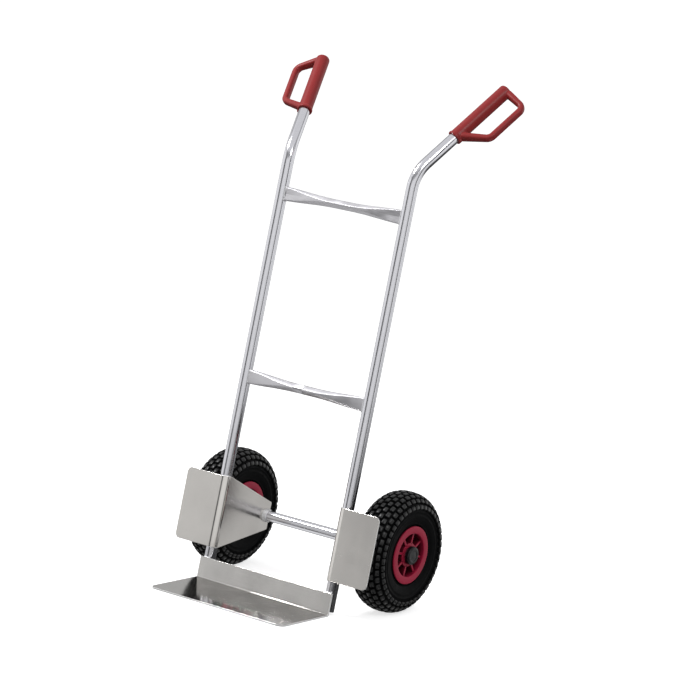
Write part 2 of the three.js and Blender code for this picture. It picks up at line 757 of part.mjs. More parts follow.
// A pressed-on cup with a domed end and a blind bore for the rod
function axleCap() {
  const bore = AXLE_ROD_R + GAP;
  const end = capInside + CAP_HEIGHT;
  const edge = [45, 90].map((angle) => [
    CAP_R - CAP_EDGE + CAP_EDGE * Math.cos(rad(angle)),
    end - CAP_EDGE + CAP_EDGE * Math.sin(rad(angle)),
  ]);
  const depth = capInside + ROD_IN_CAP + GAP;
  return turned([
    [0, depth],
    [bore, depth],
    [bore, capInside],
    [CAP_R, capInside],
    [CAP_R, end - CAP_EDGE],
    ...edge,
    [0, end],
  ], ROD_FACETS);
}

// ---------------------------------------------------------------- materials and assembly

const FINISH = {
  polishedTube: { color: 0xd6d6da, roughness: 0.22, metalness: 1 },
  sheet: { color: 0xc4c2bf, roughness: 0.34, metalness: 1 },
  grip: { color: 0xa33b3c, roughness: 0.45, metalness: 0 },
  rim: { color: 0xb8324f, roughness: 0.42, metalness: 0 },
  tyre: { color: 0x1b1b1c, roughness: 0.85, metalness: 0 },
  innerTube: { color: 0x222224, roughness: 0.7, metalness: 0 },
  steel: { color: 0x9a9c9f, roughness: 0.35, metalness: 1 },
  zinc: { color: 0xb9bcc0, roughness: 0.4, metalness: 1 },
  brass: { color: 0xb59a55, roughness: 0.35, metalness: 1 },
  blackPlastic: { color: 0x17181a, roughness: 0.4, metalness: 0 },
};

function piece(name, geometry, finish) {
  const mesh = new THREE.Mesh(geometry, new THREE.MeshStandardMaterial(FINISH[finish]));
  mesh.name = name;
  return mesh;
}

const truck = new THREE.Group();
const mast = new THREE.Group();
mast.rotation.x = -lean;
truck.add(mast);

const tube = sideTube();
const bracket = wheelBracket();
const handGrip = grip();
const sides = { left: mirrored, right: (geometry) => geometry };
Object.entries(sides).forEach(([side, handed]) => {
  mast.add(
    piece(`${side}_side_tube`, handed(tube), 'polishedTube'),
    piece(`${side}_wheel_bracket`, handed(bracket), 'sheet'),
    piece(`${side}_grip`, handed(handGrip), 'grip'),
  );
});
Object.entries(CROSSBAR_HEIGHTS).forEach(([name, along]) => {
  mast.add(piece(name, crossbar(along), 'sheet'));
});
truck.add(piece('toe_plate', toePlate(), 'sheet'));

const axle = new THREE.Group();
axle.position.set(0, axleY, WHEEL_R);
truck.add(axle);
const axleTubeShape = circle(axleTubeR, ROD_FACETS);
axleTubeShape.holes.push(circle(AXLE_ROD_R + GAP, ROD_FACETS));
const axleTube = alongX(axleTubeShape, -axleTubeHalfLength, axleTubeHalfLength);
const axleRod = alongX(circle(AXLE_ROD_R, ROD_FACETS), -rodHalfLength, rodHalfLength);
axle.add(
  piece('axle_tube', closed(axleTube), 'polishedTube'),
  piece('axle_rod', closed(axleRod), 'steel'),
);

const half = rimHalf();
const outerHalf = geometryOf(half.subtract(valveHole()));
const innerHalf = mirrored(geometryOf(half));
const wheelPieces = [
  ['tyre', tyre(), 'tyre'],
  ['inner_tube', innerTube(), 'innerTube'],
  ['valve_stem', valveStem(), 'brass'],
  ['valve_cap', valveCap(), 'blackPlastic'],
  ['rim_outer_half', outerHalf, 'rim'],
  ['rim_inner_half', innerHalf, 'rim'],
  ['roller_cage', rollerCage(), 'steel'],
  ['outer_washer', washer(washerInside), 'zinc'],
  ['inner_washer', washer(-washerOutside), 'zinc'],
  ['axle_cap', axleCap(), 'blackPlastic'],
];
for (let i = 0; i < BOLT_COUNT; i += 1) {
  wheelPieces.push([`rim_bolt_${i + 1}`, rimBolt(boltAngle(i)), 'zinc']);
  wheelPieces.push([`rim_nut_${i + 1}`, rimNut(boltAngle(i)), 'zinc']);
}
Object.entries(sides).forEach(([side, handed]) => {
  const wheel = new THREE.Group();
  wheel.position.x = side === 'left' ? -wheelX : wheelX;
  wheelPieces.forEach(([name, geometry, finish]) => {
    wheel.add(piece(`${side}_${name}`, handed(geometry), finish));
  });
  axle.add(wheel);
});

// The origin moves under the middle of the truck
truck.updateMatrixWorld(true);
const bounds = new THREE.Box3().setFromObject(truck, true);
truck.position.y = -(bounds.min.y + bounds.max.y) / 2;

export default truck;
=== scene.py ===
import json
from functools import cache
from math import acos, atan, atan2, cos, hypot, pi, radians, sin, sqrt, tan

import bmesh
import bpy
from bpy.props import FloatProperty, FloatVectorProperty, IntProperty, PointerProperty
from mathutils import Matrix, Vector
from mathutils.geometry import intersect_line_line


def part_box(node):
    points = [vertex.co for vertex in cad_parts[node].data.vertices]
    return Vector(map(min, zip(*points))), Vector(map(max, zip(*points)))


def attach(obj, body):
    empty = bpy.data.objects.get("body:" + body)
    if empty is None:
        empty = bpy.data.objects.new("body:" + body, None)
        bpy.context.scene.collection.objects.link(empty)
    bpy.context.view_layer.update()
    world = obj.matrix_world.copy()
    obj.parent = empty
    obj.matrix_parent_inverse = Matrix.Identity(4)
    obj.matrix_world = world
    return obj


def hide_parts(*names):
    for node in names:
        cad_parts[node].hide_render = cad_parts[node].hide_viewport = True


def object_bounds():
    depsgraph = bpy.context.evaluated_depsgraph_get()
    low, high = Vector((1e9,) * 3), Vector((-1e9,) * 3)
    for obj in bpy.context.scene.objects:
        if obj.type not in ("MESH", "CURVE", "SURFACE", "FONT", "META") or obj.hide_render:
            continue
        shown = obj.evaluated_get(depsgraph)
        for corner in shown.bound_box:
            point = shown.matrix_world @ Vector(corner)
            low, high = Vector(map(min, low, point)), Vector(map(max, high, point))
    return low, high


bl_info = {
    "name": "Hand Truck",
    "version": (1, 0, 0),
    "blender": (4, 5, 0),
    "location": "3D View > Sidebar > Hand Truck",
    "description": "Builds the visible pieces of an aluminium hand truck round its fixed frame",
    "category": "Add Mesh",
}

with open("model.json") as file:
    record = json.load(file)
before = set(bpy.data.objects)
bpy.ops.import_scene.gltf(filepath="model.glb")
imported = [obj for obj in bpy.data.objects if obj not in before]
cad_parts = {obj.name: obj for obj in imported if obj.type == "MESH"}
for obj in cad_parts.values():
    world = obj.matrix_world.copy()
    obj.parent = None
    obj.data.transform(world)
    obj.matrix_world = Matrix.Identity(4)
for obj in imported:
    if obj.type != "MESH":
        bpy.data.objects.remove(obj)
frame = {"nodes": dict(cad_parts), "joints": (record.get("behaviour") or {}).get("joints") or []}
CAD_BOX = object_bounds()

GAP = 0.0003  # between faces that touch, as in the frame
SIDES = {"left": -1, "right": 1}
TUBE_SPACE = "tube_space"  # vertex attribute: place round and along a tube
# the block tops are marked: rubbing polishes them, and they are painted lighter as a painted highlight as
# well as wear
WEAR_AND_SHEEN = "wear_and_sheen"  # vertex attribute: how far rubbing has polished the rubber
ACROSS = Vector((1, 0, 0))
UP = Vector((0, 0, 1))


# ------------------------------------------------------------------ places read from the frame


def open_end(node, pick):
    """Centre and outward direction of a tube's lowest (min) or highest (max) open end."""
    mesh = frame["nodes"][node].data
    face = pick(mesh.polygons, key=lambda polygon: polygon.center.z)
    normal = face.normal.copy()
    level = face.center.dot(normal)
    ring = {
        tuple(round(c, 6) for c in v.co): v.co.copy()
        for v in mesh.vertices
        if abs(v.co.dot(normal) - level) < 1e-5
    }
    return sum(ring.values(), Vector()) / len(ring), normal


FOOT, DOWN_TUBE = open_end("right_side_tube", min)
HANDLE_END, ALONG_HANDLE = open_end("right_side_tube", max)
ALONG = -DOWN_TUBE
BEHIND = ALONG.cross(ACROSS)
HANDLE_CORNER = intersect_line_line(FOOT, FOOT + ALONG, HANDLE_END, HANDLE_END + ALONG_HANDLE)[0]
TUBE_X = FOOT.x

# The leaning frame of the tubes: X across, Y behind them, Z along them from the floor
FLOOR_POINT = FOOT - ALONG * (FOOT.z / ALONG.z)
MAST = Matrix.Translation((0, FLOOR_POINT.y, 0)) @ Matrix((ACROSS, BEHIND, ALONG)).transposed().to_4x4()

AXLE = {j["child"]: Vector(j["pos_m"]) for j in frame["joints"]}["right_wheel"]
AXLE_ON_MAST = MAST.inverted() @ AXLE


def mast_extent(node, axis):
    """Lowest and highest coordinate of a CAD node along one axis of the leaning frame."""
    to_mast = MAST.inverted()
    values = [(to_mast @ v.co)[axis] for v in frame["nodes"][node].data.vertices]
    return min(values), max(values)


# ------------------------------------------------------------------ settings


def linear(hex_colour):
    """A colour given as sRGB hex, in the linear values that shaders take."""
    channels = [int(hex_colour[i:i + 2], 16) / 255 for i in (1, 3, 5)]
    return tuple(c / 12.92 if c <= 0.04045 else ((c + 0.055) / 1.055) ** 2.4 for c in channels)


def length(name, default, description):
    return FloatProperty(name=name, default=default, description=description, unit="LENGTH", precision=4)


def angle(name, degrees_value, description):
    return FloatProperty(name=name, default=radians(degrees_value), description=description, subtype="ANGLE")


def colour(name, hex_colour, description):
    return FloatVectorProperty(
        name=name, default=linear(hex_colour), description=description, subtype="COLOR", min=0, max=1
    )


def power(name, default, description):
    return FloatProperty(name=name, default=default, description=description, unit="POWER")


def count(name, default, description):
    return IntProperty(name=name, default=default, description=description, min=1)


class TubeSettings(bpy.types.PropertyGroup):
    """Sizes of the bent side tubes and the axle tube"""

    radius: length("Radius", 0.0125, "Outer radius of a side tube")
    wall: length("Wall", 0.002, "Wall of a side tube")
    bend_radius: length("Bend radius", 0.09, "Radius of the handle bend, to the tube's axis")
    facets: count("Facets", 48, "Facets round a tube")
    axle_radius: length("Axle tube radius", 0.0115, "Outer radius of the axle tube")
    axle_wall: length("Axle tube wall", 0.0012, "Wall of the axle tube")
    rod_radius: length("Axle rod radius", 0.01, "Radius of the steel rod in the axle tube")


class CrossbarSettings(bpy.types.PropertyGroup):
    """Sizes of the crossbars pressed from round tube"""

    end_height: length("End height", 0.031, "Height of the section at the side tubes")
    end_depth: length("End depth", 0.011, "Depth of the section at the side tubes")
    middle_height: length("Middle height", 0.019, "Height of the section in the middle")
    middle_depth: length("Middle depth", 0.028, "Depth of the section in the middle")
    flat: length("Flat", 0.060, "Length of the press mark in the middle")
    stations: count("Stations", 64, "Steps along a crossbar")
    nose: length("Nose", 0.0015, "Half height of the upright flat left in the middle")
    end_fold: length("End fold", 0.0018, "Set-back of the folds at the ends")
    middle_fold: length("Middle fold", 0.0085, "Set-back of the folds in the middle")
    crease: length("Crease radius", 0.0012, "Radius of the pressed creases")
    dent: length("End dent", 0.0022, "Depth of the groove pressed along the upper bar's ends")
    step: length("Step", 0.0045, "Depth of the step at the middle of the press mark")


class SheetSettings(bpy.types.PropertyGroup):
    """Sizes of the folded sheets"""

    bracket: length("Bracket sheet", 0.0025, "Thickness of the wheel brackets")
    bracket_corner: length("Bracket corner", 0.011, "Rounding of the brackets' outer corners")
    bend_corner: length("Bend corner", 0.020, "Rounding of the brackets' edge beside the bend")
    rear_corner: length("Rear corner", 0.004, "Rounding of the brackets' rear corners")
    rear_below: length("Rear below axle", 0.031, "Reach of the brackets' rear edge below the axle")
    rear_above: length("Rear above axle", 0.029, "Reach of the brackets' rear edge above the axle")
    toe: length("Toe sheet", 0.004, "Thickness of the toe plate")
    toe_fold: length("Toe fold", 0.0035, "Radius of the toe plate's fold, to the middle of the sheet")
    toe_corner: length("Toe corner", 0.015, "Rounding of the toe plate's front corners")
    top_corner: length("Top corner", 0.0015, "Rounding of the toe plate's upper corners")
    edge: length("Edge", 0.0008, "Rounding of all sheet edges")


class GripSettings(bpy.types.PropertyGroup):
    """Sizes of the moulded grips with their knuckle guards"""

    radius: length("Radius", 0.015, "Outer radius of a grip")
    length: length("Length", 0.160, "Length of a grip")
    overlap: length("Overlap", 0.118, "Length of tube inside a grip")
    dome: length("Dome", 0.006, "Rounding of the closed end")
    collar: length("Collar", 0.005, "Length of the collar at the open end")
    collar_rise: length("Collar rise", 0.0016, "How far the collar stands above the grip")
    guard_reach: length("Guard reach", 0.0635, "Distance of the guard's rail from the grip's axis")
    guard_tilt: angle("Guard tilt", 24.3, "How far the guard points below level")
    guard_thickness: length("Guard thickness", 0.0135, "Thickness of the guard in its own plane")
    guard_width: length("Guard width", 0.017, "Width of the guard across its plane")
    guard_corner: length("Guard corner", 0.015, "Radius of the guard's two corners")
    guard_squareness: FloatProperty(
        name="Guard squareness", default=2.8, description="Exponent of the guard's rounded section"
    )
    low_root: length("Low root", 0.013, "Start of the lower strut, along the grip from its open end")
    low_corner: length("Low corner", 0.044, "Lower corner of the guard, along the grip")
    high_corner: length("High corner", 0.1445, "Upper corner of the guard, along the grip")
    high_root: length("High root", 0.1525, "End of the upper strut, along the grip")
    lug_reach: length("Lug reach", 0.0195, "Distance of the small lug's tip from the grip's axis")
    lug_width: length("Lug width", 0.006, "Width of the small lug")
    skin: length("Skin step", 0.0011, "Size of the cells that join grip, guard and lug")


class WheelSettings(bpy.types.PropertyGroup):
    """Sizes of the wheels"""

    squareness: FloatProperty(name="Squareness", default=2.5, description="Exponent of the tyre's crown")
    carcass_drop: length("Block height", 0.0044, "Height of the tread blocks over the carcass")
    tread_rows: count("Tread rows", 9, "Rows of blocks across the tread")
    tread_blocks: count("Blocks in a row", 44, "Blocks round the tyre in each row")
    block_length: length("Block length", 0.0125, "Length of a block round the tyre")
    block_width: length("Block width", 0.0095, "Width of a block across the tyre")
    sidewall: length("Sidewall", 0.005, "Thickness of the tyre's sidewall")
    crown: length("Crown", 0.006, "Thickness of the tyre's crown with its blocks")
    seat_radius: length("Seat radius", 0.0508, "Radius of the bead seats")
    lip_radius: length("Lip radius", 0.0623, "Radius of the rim's lips")
    lip: length("Lip", 0.004, "Thickness of the rim's lips")
    barrel_wall: length("Barrel wall", 0.0043, "Wall of the rim's barrel")
    spoke_recess: length("Spoke recess", 0.0054, "Depth of the spokes' faces below the lip's face")
    hub_radius: length("Hub radius", 0.021, "Outer radius of the hub")
    hub_bore: length("Hub bore", 0.0136, "Radius of the hub's bore")
    hub_ring: length("Hub ring", 0.026, "Radius of the ring that the spokes run into")
    floor: length("Middle disc", 0.005, "Half thickness of the bolted middle disc")
    spokes: count("Spokes", 8, "Spokes of each rim half")
    spoke_width: length("Spoke width", 0.005, "Width of a spoke")
    first_spoke: angle("First spoke", 32.5, "Angle of the first spoke above the rearward line")
    bolts: count("Bolts", 4, "Bolts of each rim")
    bolt_circle: length("Bolt circle", 0.036, "Radius of the bolt circle")
    washer_radius: length("Washer radius", 0.0175, "Outer radius of the axle's washers")
    rollers: count("Rollers", 8, "Rollers in each cage")


class FinishSettings(bpy.types.PropertyGroup):
    """Colours of the finishes"""

    tube: colour("Polished tube", "#DDDDE2", "Drawn and polished aluminium tube")
    sheet: colour("Mill finish sheet", "#DAD7D3", "Rolled aluminium sheet")
    edge: colour("Sheared edge", "#FAFAFA", "Bare edge of aluminium sheet")
    plate: colour("Bright plate", "#D6D4D1", "Rolled aluminium plate of the toe")
    bar: colour("Pressed bar", "#D4D3D7", "Aluminium bar pressed from tube")
    weld: colour("Weld", "#F4F4F5", "Aluminium weld bead")
    grip: colour("Grip", "#9B2C2D", "Brick red moulded plastic")
    rim: colour("Rim", "#B81F44", "Crimson moulded plastic")
    rubber: colour("Tyre rubber", "#08090A", "Carbon black tyre rubber")
    steel: colour("Steel", "#A6A8AB", "Drawn steel rod")
    zinc: colour("Zinc", "#BFC3C8", "Zinc plated steel")
    brass: colour("Brass", "#C2A25C", "Turned brass")
    black: colour("Black plastic", "#16171A", "Black moulded plastic")


class StageSettings(bpy.types.PropertyGroup):
    """Camera, floor and light"""

    azimuth: angle("Azimuth", 35.19, "Camera's angle round the truck")
    elevation: angle("Elevation", 9.58, "Camera's angle above level")
    roll: angle("Roll", 6.51, "Camera's turn about its own line of sight")
    distance: length("Distance", 6.5708, "Distance from the camera to its target")
    lens: FloatProperty(name="Lens", default=168.77, description="Focal length in millimetres")
    target: FloatVectorProperty(
        name="Target", default=(0.1153, -0.0776, 0.0150), subtype="TRANSLATION",
        description="Target from the middle of the truck",
    )
    floor: colour("Floor", "#F2F2F2", "Pale floor")
    floor_glow: FloatProperty(name="Floor glow", default=0.7, description="Light given off by the floor")
    overhead: power("Overhead box", 100.0, "Power of the overhead box")
    side: power("Side box", 26.0, "Power of the box on the right")
    ambient: FloatProperty(name="Ambient", default=0.6, description="Studio brightness on matt surfaces")
    floor_size: length("Floor size", 120.0, "Side of the square floor")


class TruckSettings(bpy.types.PropertyGroup):
    """All settings of the hand truck"""

    tube: PointerProperty(type=TubeSettings)
    crossbar: PointerProperty(type=CrossbarSettings)
    sheet: PointerProperty(type=SheetSettings)
    grip: PointerProperty(type=GripSettings)
    wheel: PointerProperty(type=WheelSettings)
    finish: PointerProperty(type=FinishSettings)
    stage: PointerProperty(type=StageSettings)


def settings():
    return bpy.context.scene.hand_truck


# ------------------------------------------------------------------ outlines and meshes


def rounded(points, radii, steps=4, closed=True):
    """A flat outline with its corners rounded; radii is one radius, or one for each corner."""
    total = len(points)
    if not isinstance(radii, (list, tuple)):
        radii = [radii] * total
    outline = []
    for i, (point, radius) in enumerate(zip(points, radii)):
        here = Vector(point)
        if radius <= 0 or (not closed and i in (0, total - 1)):
            outline.append(here)
            continue
        before = Vector(points[i - 1]) - here
        after = Vector(points[(i + 1) % total]) - here
        half = before.angle(after) / 2
        reach = min(radius / tan(half), before.length * 0.49, after.length * 0.49)
        radius = reach * tan(half)
        centre = here + (before.normalized() + after.normalized()).normalized() * (radius / sin(half))
        start = here + before.normalized() * reach - centre
        end = here + after.normalized() * reach - centre
        turn = start.angle(end)
        for k in range(steps + 1):
            share = k / steps
            outline.append(
                centre + (start * sin((1 - share) * turn) + end * sin(share * turn)) / sin(turn)
            )
    return outline


def new_mesh(name, vertices, faces):
    """A mesh with merged vertices, whose faces point outwards."""
    mesh = bpy.data.meshes.new(name)
    mesh.from_pydata([tuple(v) for v in vertices], [], faces)
    merge_doubles(mesh)
    return mesh


def merge_doubles(mesh, outwards=True):
    """Merges touching vertices and, where asked, turns the faces outwards."""
    bm = bmesh.new()
    bm.from_mesh(mesh)
    bmesh.ops.remove_doubles(bm, verts=bm.verts, dist=1e-6)
    bmesh.ops.dissolve_degenerate(bm, edges=bm.edges, dist=1e-7)
    if outwards:
        bmesh.ops.recalc_face_normals(bm, faces=bm.faces)
    bm.to_mesh(mesh)
    bm.free()


def grid_faces(rows, columns, close_rows=False, close_columns=False):
    """Faces of a grid of rows x columns vertices."""
    return [
        (
            r * columns + c,
            r * columns + (c + 1) % columns,
            (r + 1) % rows * columns + (c + 1) % columns,
            (r + 1) % rows * columns + c,
        )
        for r in range(rows if close_rows else rows - 1)
        for c in range(columns if close_columns else columns - 1)
    ]


def lathe(name, profile, facets=96):
    """A closed profile of (radius, x) points turned about the X axis."""
    vertices = [
        (x, radius * cos(2 * pi * k / facets), radius * sin(2 * pi * k / facets))
        for k in range(facets)
        for radius, x in profile
    ]
    return new_mesh(name, vertices, grid_faces(facets, len(profile), True, True))


def loft(name, rings):
    """A solid through rings of equal length, closed with a face at each end."""
    size = len(rings[0])
    vertices = [point for ring in rings for point in ring]
    faces = grid_faces(len(rings), size, close_columns=True)
    faces += [tuple(range(size)), tuple(range(len(vertices) - size, len(vertices)))]
    return new_mesh(name, vertices, faces)


def path_stations(corners, radii, steps=8):
    """Points and tangents along a line of corners in space, each rounded to its radius."""
    headings = [(b - a).normalized() for a, b in zip(corners, corners[1:])]
    stations = [(corners[0], headings[0])]
    for corner, before, after, radius in zip(corners[1:], headings, headings[1:], radii):
        turn = before.angle(after)
        axis = before.cross(after).normalized()
        centre = corner - before * (radius * tan(turn / 2)) + axis.cross(before) * radius
        for k in range(steps + 1):
            tangent = Matrix.Rotation(turn * k / steps, 3, axis) @ before
            stations.append((centre - axis.cross(tangent) * radius, tangent))
    stations.append((corners[-1], headings[-1]))
    return stations


def oval(half_width, half_height, squareness, facets):
    """Points of a rounded section; squareness 2 is an ellipse, more is closer to a rectangle."""
    def bulge(value):
        return abs(value) ** (2 / squareness) * (1 if value >= 0 else -1)

    return [
        (half_width * bulge(cos(2 * pi * k / facets)), half_height * bulge(sin(2 * pi * k / facets)))
        for k in range(facets)
    ]


def merged(name, meshes):
    """One mesh made of several, each still a closed shell, with their attribute of wear and painted sheen if
    any.
    """
    vertices, faces, wear_and_sheen_values = [], [], []
    for mesh in meshes:
        offset = len(vertices)
        vertices += [v.co.copy() for v in mesh.vertices]
        faces += [tuple(offset + i for i in polygon.vertices) for polygon in mesh.polygons]
        wear_and_sheen = mesh.attributes.get(WEAR_AND_SHEEN)
        wear_and_sheen_values += [w.value for w in wear_and_sheen.data] if wear_and_sheen else [0.0] * len(mesh.vertices)
    joined = bpy.data.meshes.new(name)
    joined.from_pydata(vertices, [], faces)
    if any(wear_and_sheen_values):
        joined.attributes.new(WEAR_AND_SHEEN, "FLOAT", "POINT").data.foreach_set("value", wear_and_sheen_values)
    return joined


def make_object(name, mesh):
    """A new object in the scene, at the origin."""
    made = bpy.data.objects.new(name, mesh)
    bpy.context.scene.collection.objects.link(made)
    return made


def plain_mesh(made, keep=False):
    """The evaluated result of an object's modifiers; the object goes too, unless it is kept."""
    evaluated = made.evaluated_get(bpy.context.evaluated_depsgraph_get())
    mesh = bpy.data.meshes.new_from_object(evaluated)
    made.modifiers.clear()
    made.data = mesh
    mesh.name = made.name
    if not keep:
        bpy.data.objects.remove(made)
    return mesh


def bevelled(made, width, segments=2, limit=35):
    """Rounds the edges that are sharper than a limit in degrees."""
    bevel = made.modifiers.new("edges", "BEVEL")
    bevel.width = width
    bevel.segments = segments
    bevel.limit_method = "ANGLE"
    bevel.angle_limit = radians(limit)
    return made


def smooth(mesh, limit=35):
    """Smooth shading, but for edges sharper than a limit in degrees."""
    mesh.shade_smooth()
    mesh.set_sharp_from_angle(angle=radians(limit))


def keep_flats(mesh, width):
    """Makes the borders of wide faces sharp, so that flat metal is shaded truly flat."""
    bm = bmesh.new()
    bm.from_mesh(mesh)
    for face in bm.faces:
        if face.calc_area() > width * max(edge.calc_length() for edge in face.edges):
            for edge in face.edges:
                edge.smooth = False
    bm.to_mesh(mesh)
    bm.free()


def mirrored(mesh):
    """A copy of a mesh on the other side of X = 0, still facing outwards."""
    copy = mesh.copy()
    copy.transform(Matrix.Diagonal((-1, 1, 1, 1)))
    copy.flip_normals()
    return copy


def piece(name, mesh, materials, body, nodes):
    """Puts a finished mesh in the scene on its body, in place of its CAD nodes."""
    made = make_object(name, mesh)
    numbers = [polygon.material_index for polygon in mesh.polygons]
    mesh.materials.clear()
    for material in materials if isinstance(materials, tuple) else (materials,):
        mesh.materials.append(material)
    mesh.polygons.foreach_set("material_index", [min(n, len(mesh.materials) - 1) for n in numbers])
    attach(made, body)
    if nodes:
        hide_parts(*nodes)
    return made


def pair(name, mesh, materials, body, nodes):
    """A right-hand piece and its mirrored left-hand twin; {side} stands for left or right."""
    for side, sign in SIDES.items():
        own = mesh if sign > 0 else mirrored(mesh)
        piece(
            f"{side}_{name}", own, materials, body.format(side=side),
            [node.format(side=side) for node in nodes],
        )


# ------------------------------------------------------------------ node trees


def add(tree, kind, inputs=None, **own):
    """Adds a node, sets its own properties, and links or sets its inputs."""
    node = tree.nodes.new(kind)
    for key, value in own.items():
        setattr(node, key, value)
    for key, value in (inputs or {}).items():
        if isinstance(value, Number):
            value = value.out
        if isinstance(value, bpy.types.NodeSocket):
            tree.links.new(value, node.inputs[key])
        else:
            node.inputs[key].default_value = value
    return node


def new_tree(name, sizes):
    """A geometry tree with a named input for each size; gives the tree and its input node."""
    tree = bpy.data.node_groups.new(name, "GeometryNodeTree")
    kinds = {int: "NodeSocketInt", float: "NodeSocketFloat"}
    tree.interface.new_socket("Geometry", in_out="INPUT", socket_type="NodeSocketGeometry")
    for label, value in sizes.items():
        socket = tree.interface.new_socket(label, in_out="INPUT", socket_type=kinds[type(value)])
        socket.default_value = value
    tree.interface.new_socket("Material", in_out="INPUT", socket_type="NodeSocketMaterial")
    tree.interface.new_socket("Geometry", in_out="OUTPUT", socket_type="NodeSocketGeometry")
    return tree, add(tree, "NodeGroupInput").outputs


def end_tree(tree, given, geometry):
    """Closes a tree with real geometry that has its material."""
    real = add(tree, "GeometryNodeRealizeInstances", {"Geometry": geometry})
    made = add(tree, "GeometryNodeSetMaterial", {"Geometry": real.outputs[0], "Material": given["Material"]})
    add(tree, "NodeGroupOutput", {"Geometry": made.outputs[0]})
    return tree


def calc(tree, operation, first, second=0.0):
    """A Math node's result."""
    return add(tree, "ShaderNodeMath", {0: first, 1: second}, operation=operation).outputs[0]


class Number:
    """A number in a node tree, on which arithmetic adds Math nodes."""

    def __init__(self, tree, out):
        self.tree, self.out = tree, out

    def of(self, operation, other=0.0):
        """The result of a Math node that takes this number first."""
        return Number(self.tree, calc(self.tree, operation, self, other))

    def __add__(self, other):
        return self.of("ADD", other)

    def __sub__(self, other):
        return self.of("SUBTRACT", other)

    def __rsub__(self, other):
        return Number(self.tree, calc(self.tree, "SUBTRACT", other, self))

    def __mul__(self, other):
        return self.of("MULTIPLY", other)

    def __truediv__(self, other):
        return self.of("DIVIDE", other)

    def __rtruediv__(self, other):
        return Number(self.tree, calc(self.tree, "DIVIDE", other, self))

    def __pow__(self, other):
        return self.of("POWER", other)


def numbers(tree, outputs, *keys):
    """The named outputs of a node, ready for arithmetic."""
    return [Number(tree, outputs[key]) for key in keys]


def vector(tree, x, y, z):
    return add(tree, "ShaderNodeCombineXYZ", {0: x, 1: y, 2: z}).outputs[0]


def grown(name, mesh, maker, **sizes):
    """An object whose mesh is what a geometry tree makes of an input mesh."""
    tree = tree_of(maker)
    made = make_object(name, mesh)
    modifier = made.modifiers.new(tree.name, "NODES")
    modifier.node_group = tree
    for item in tree.interface.items_tree:
        if item.item_type == "SOCKET" and item.in_out == "INPUT" and item.name in sizes:
            modifier[item.identifier] = sizes[item.name]
    return made


def line_mesh(name, points, closed=False):
    """Edges through points, as the input of a tree that needs a line."""
    mesh = bpy.data.meshes.new(name)
    edges = [(i, i + 1) for i in range(len(points) - 1)]
    if closed:
        edges.append((len(points) - 1, 0))
    mesh.from_pydata([tuple(p) for p in points], edges, [])
    return mesh


def swept_tube_tree():
    """A round tube along a line, which keeps its own space: round the tube and along it."""
    tree, given = new_tree("Swept tube", {"Radius": 0.0125, "Facets": 48})
    curve = add(tree, "GeometryNodeMeshToCurve", {"Mesh": given["Geometry"]})
    along = add(tree, "GeometryNodeSplineParameter").outputs["Length"]
    path = add(tree, "GeometryNodeCaptureAttribute", {"Geometry": curve.outputs[0]})
    path.capture_items.new("FLOAT", "Along")
    tree.links.new(along, path.inputs["Along"])
    ring = add(
        tree, "GeometryNodeCurvePrimitiveCircle",
        {"Resolution": given["Facets"], "Radius": given["Radius"]},
    )
    section = add(tree, "GeometryNodeCaptureAttribute", {"Geometry": ring.outputs["Curve"]})
    section.capture_items.new("VECTOR", "Round")
    tree.links.new(add(tree, "GeometryNodeInputPosition").outputs[0], section.inputs["Round"])
    skin = add(
        tree, "GeometryNodeCurveToMesh",
        {"Curve": path.outputs["Geometry"], "Profile Curve": section.outputs["Geometry"]},
    )
    across = add(tree, "ShaderNodeSeparateXYZ", {0: section.outputs["Round"]}).outputs
    stored = add(
        tree, "GeometryNodeStoreNamedAttribute",
        {"Geometry": skin.outputs[0], "Name": TUBE_SPACE}, data_type="FLOAT_VECTOR", domain="POINT",
    )
    tree.links.new(vector(tree, across[0], across[1], path.outputs["Along"]), stored.inputs["Value"])
    return end_tree(tree, given, stored.outputs[0])


def ring_of_copies_tree():
    """Copies of one shape turned about the X axis in equal steps."""
    tree, given = new_tree("Ring of copies", {"Count": 8, "First": 0.0})
    total, first = numbers(tree, given, "Count", "First")
    points = add(tree, "GeometryNodePoints", {"Count": total})
    index, = numbers(tree, add(tree, "GeometryNodeInputIndex").outputs, 0)
    turn = index * (2 * pi / total) + first
    rotation = add(tree, "FunctionNodeAxisAngleToRotation", {"Axis": ACROSS, "Angle": turn})
    copies = add(
        tree, "GeometryNodeInstanceOnPoints",
        {"Points": points.outputs[0], "Instance": given["Geometry"], "Rotation": rotation.outputs[0]},
    )
    return end_tree(tree, given, copies.outputs[0])


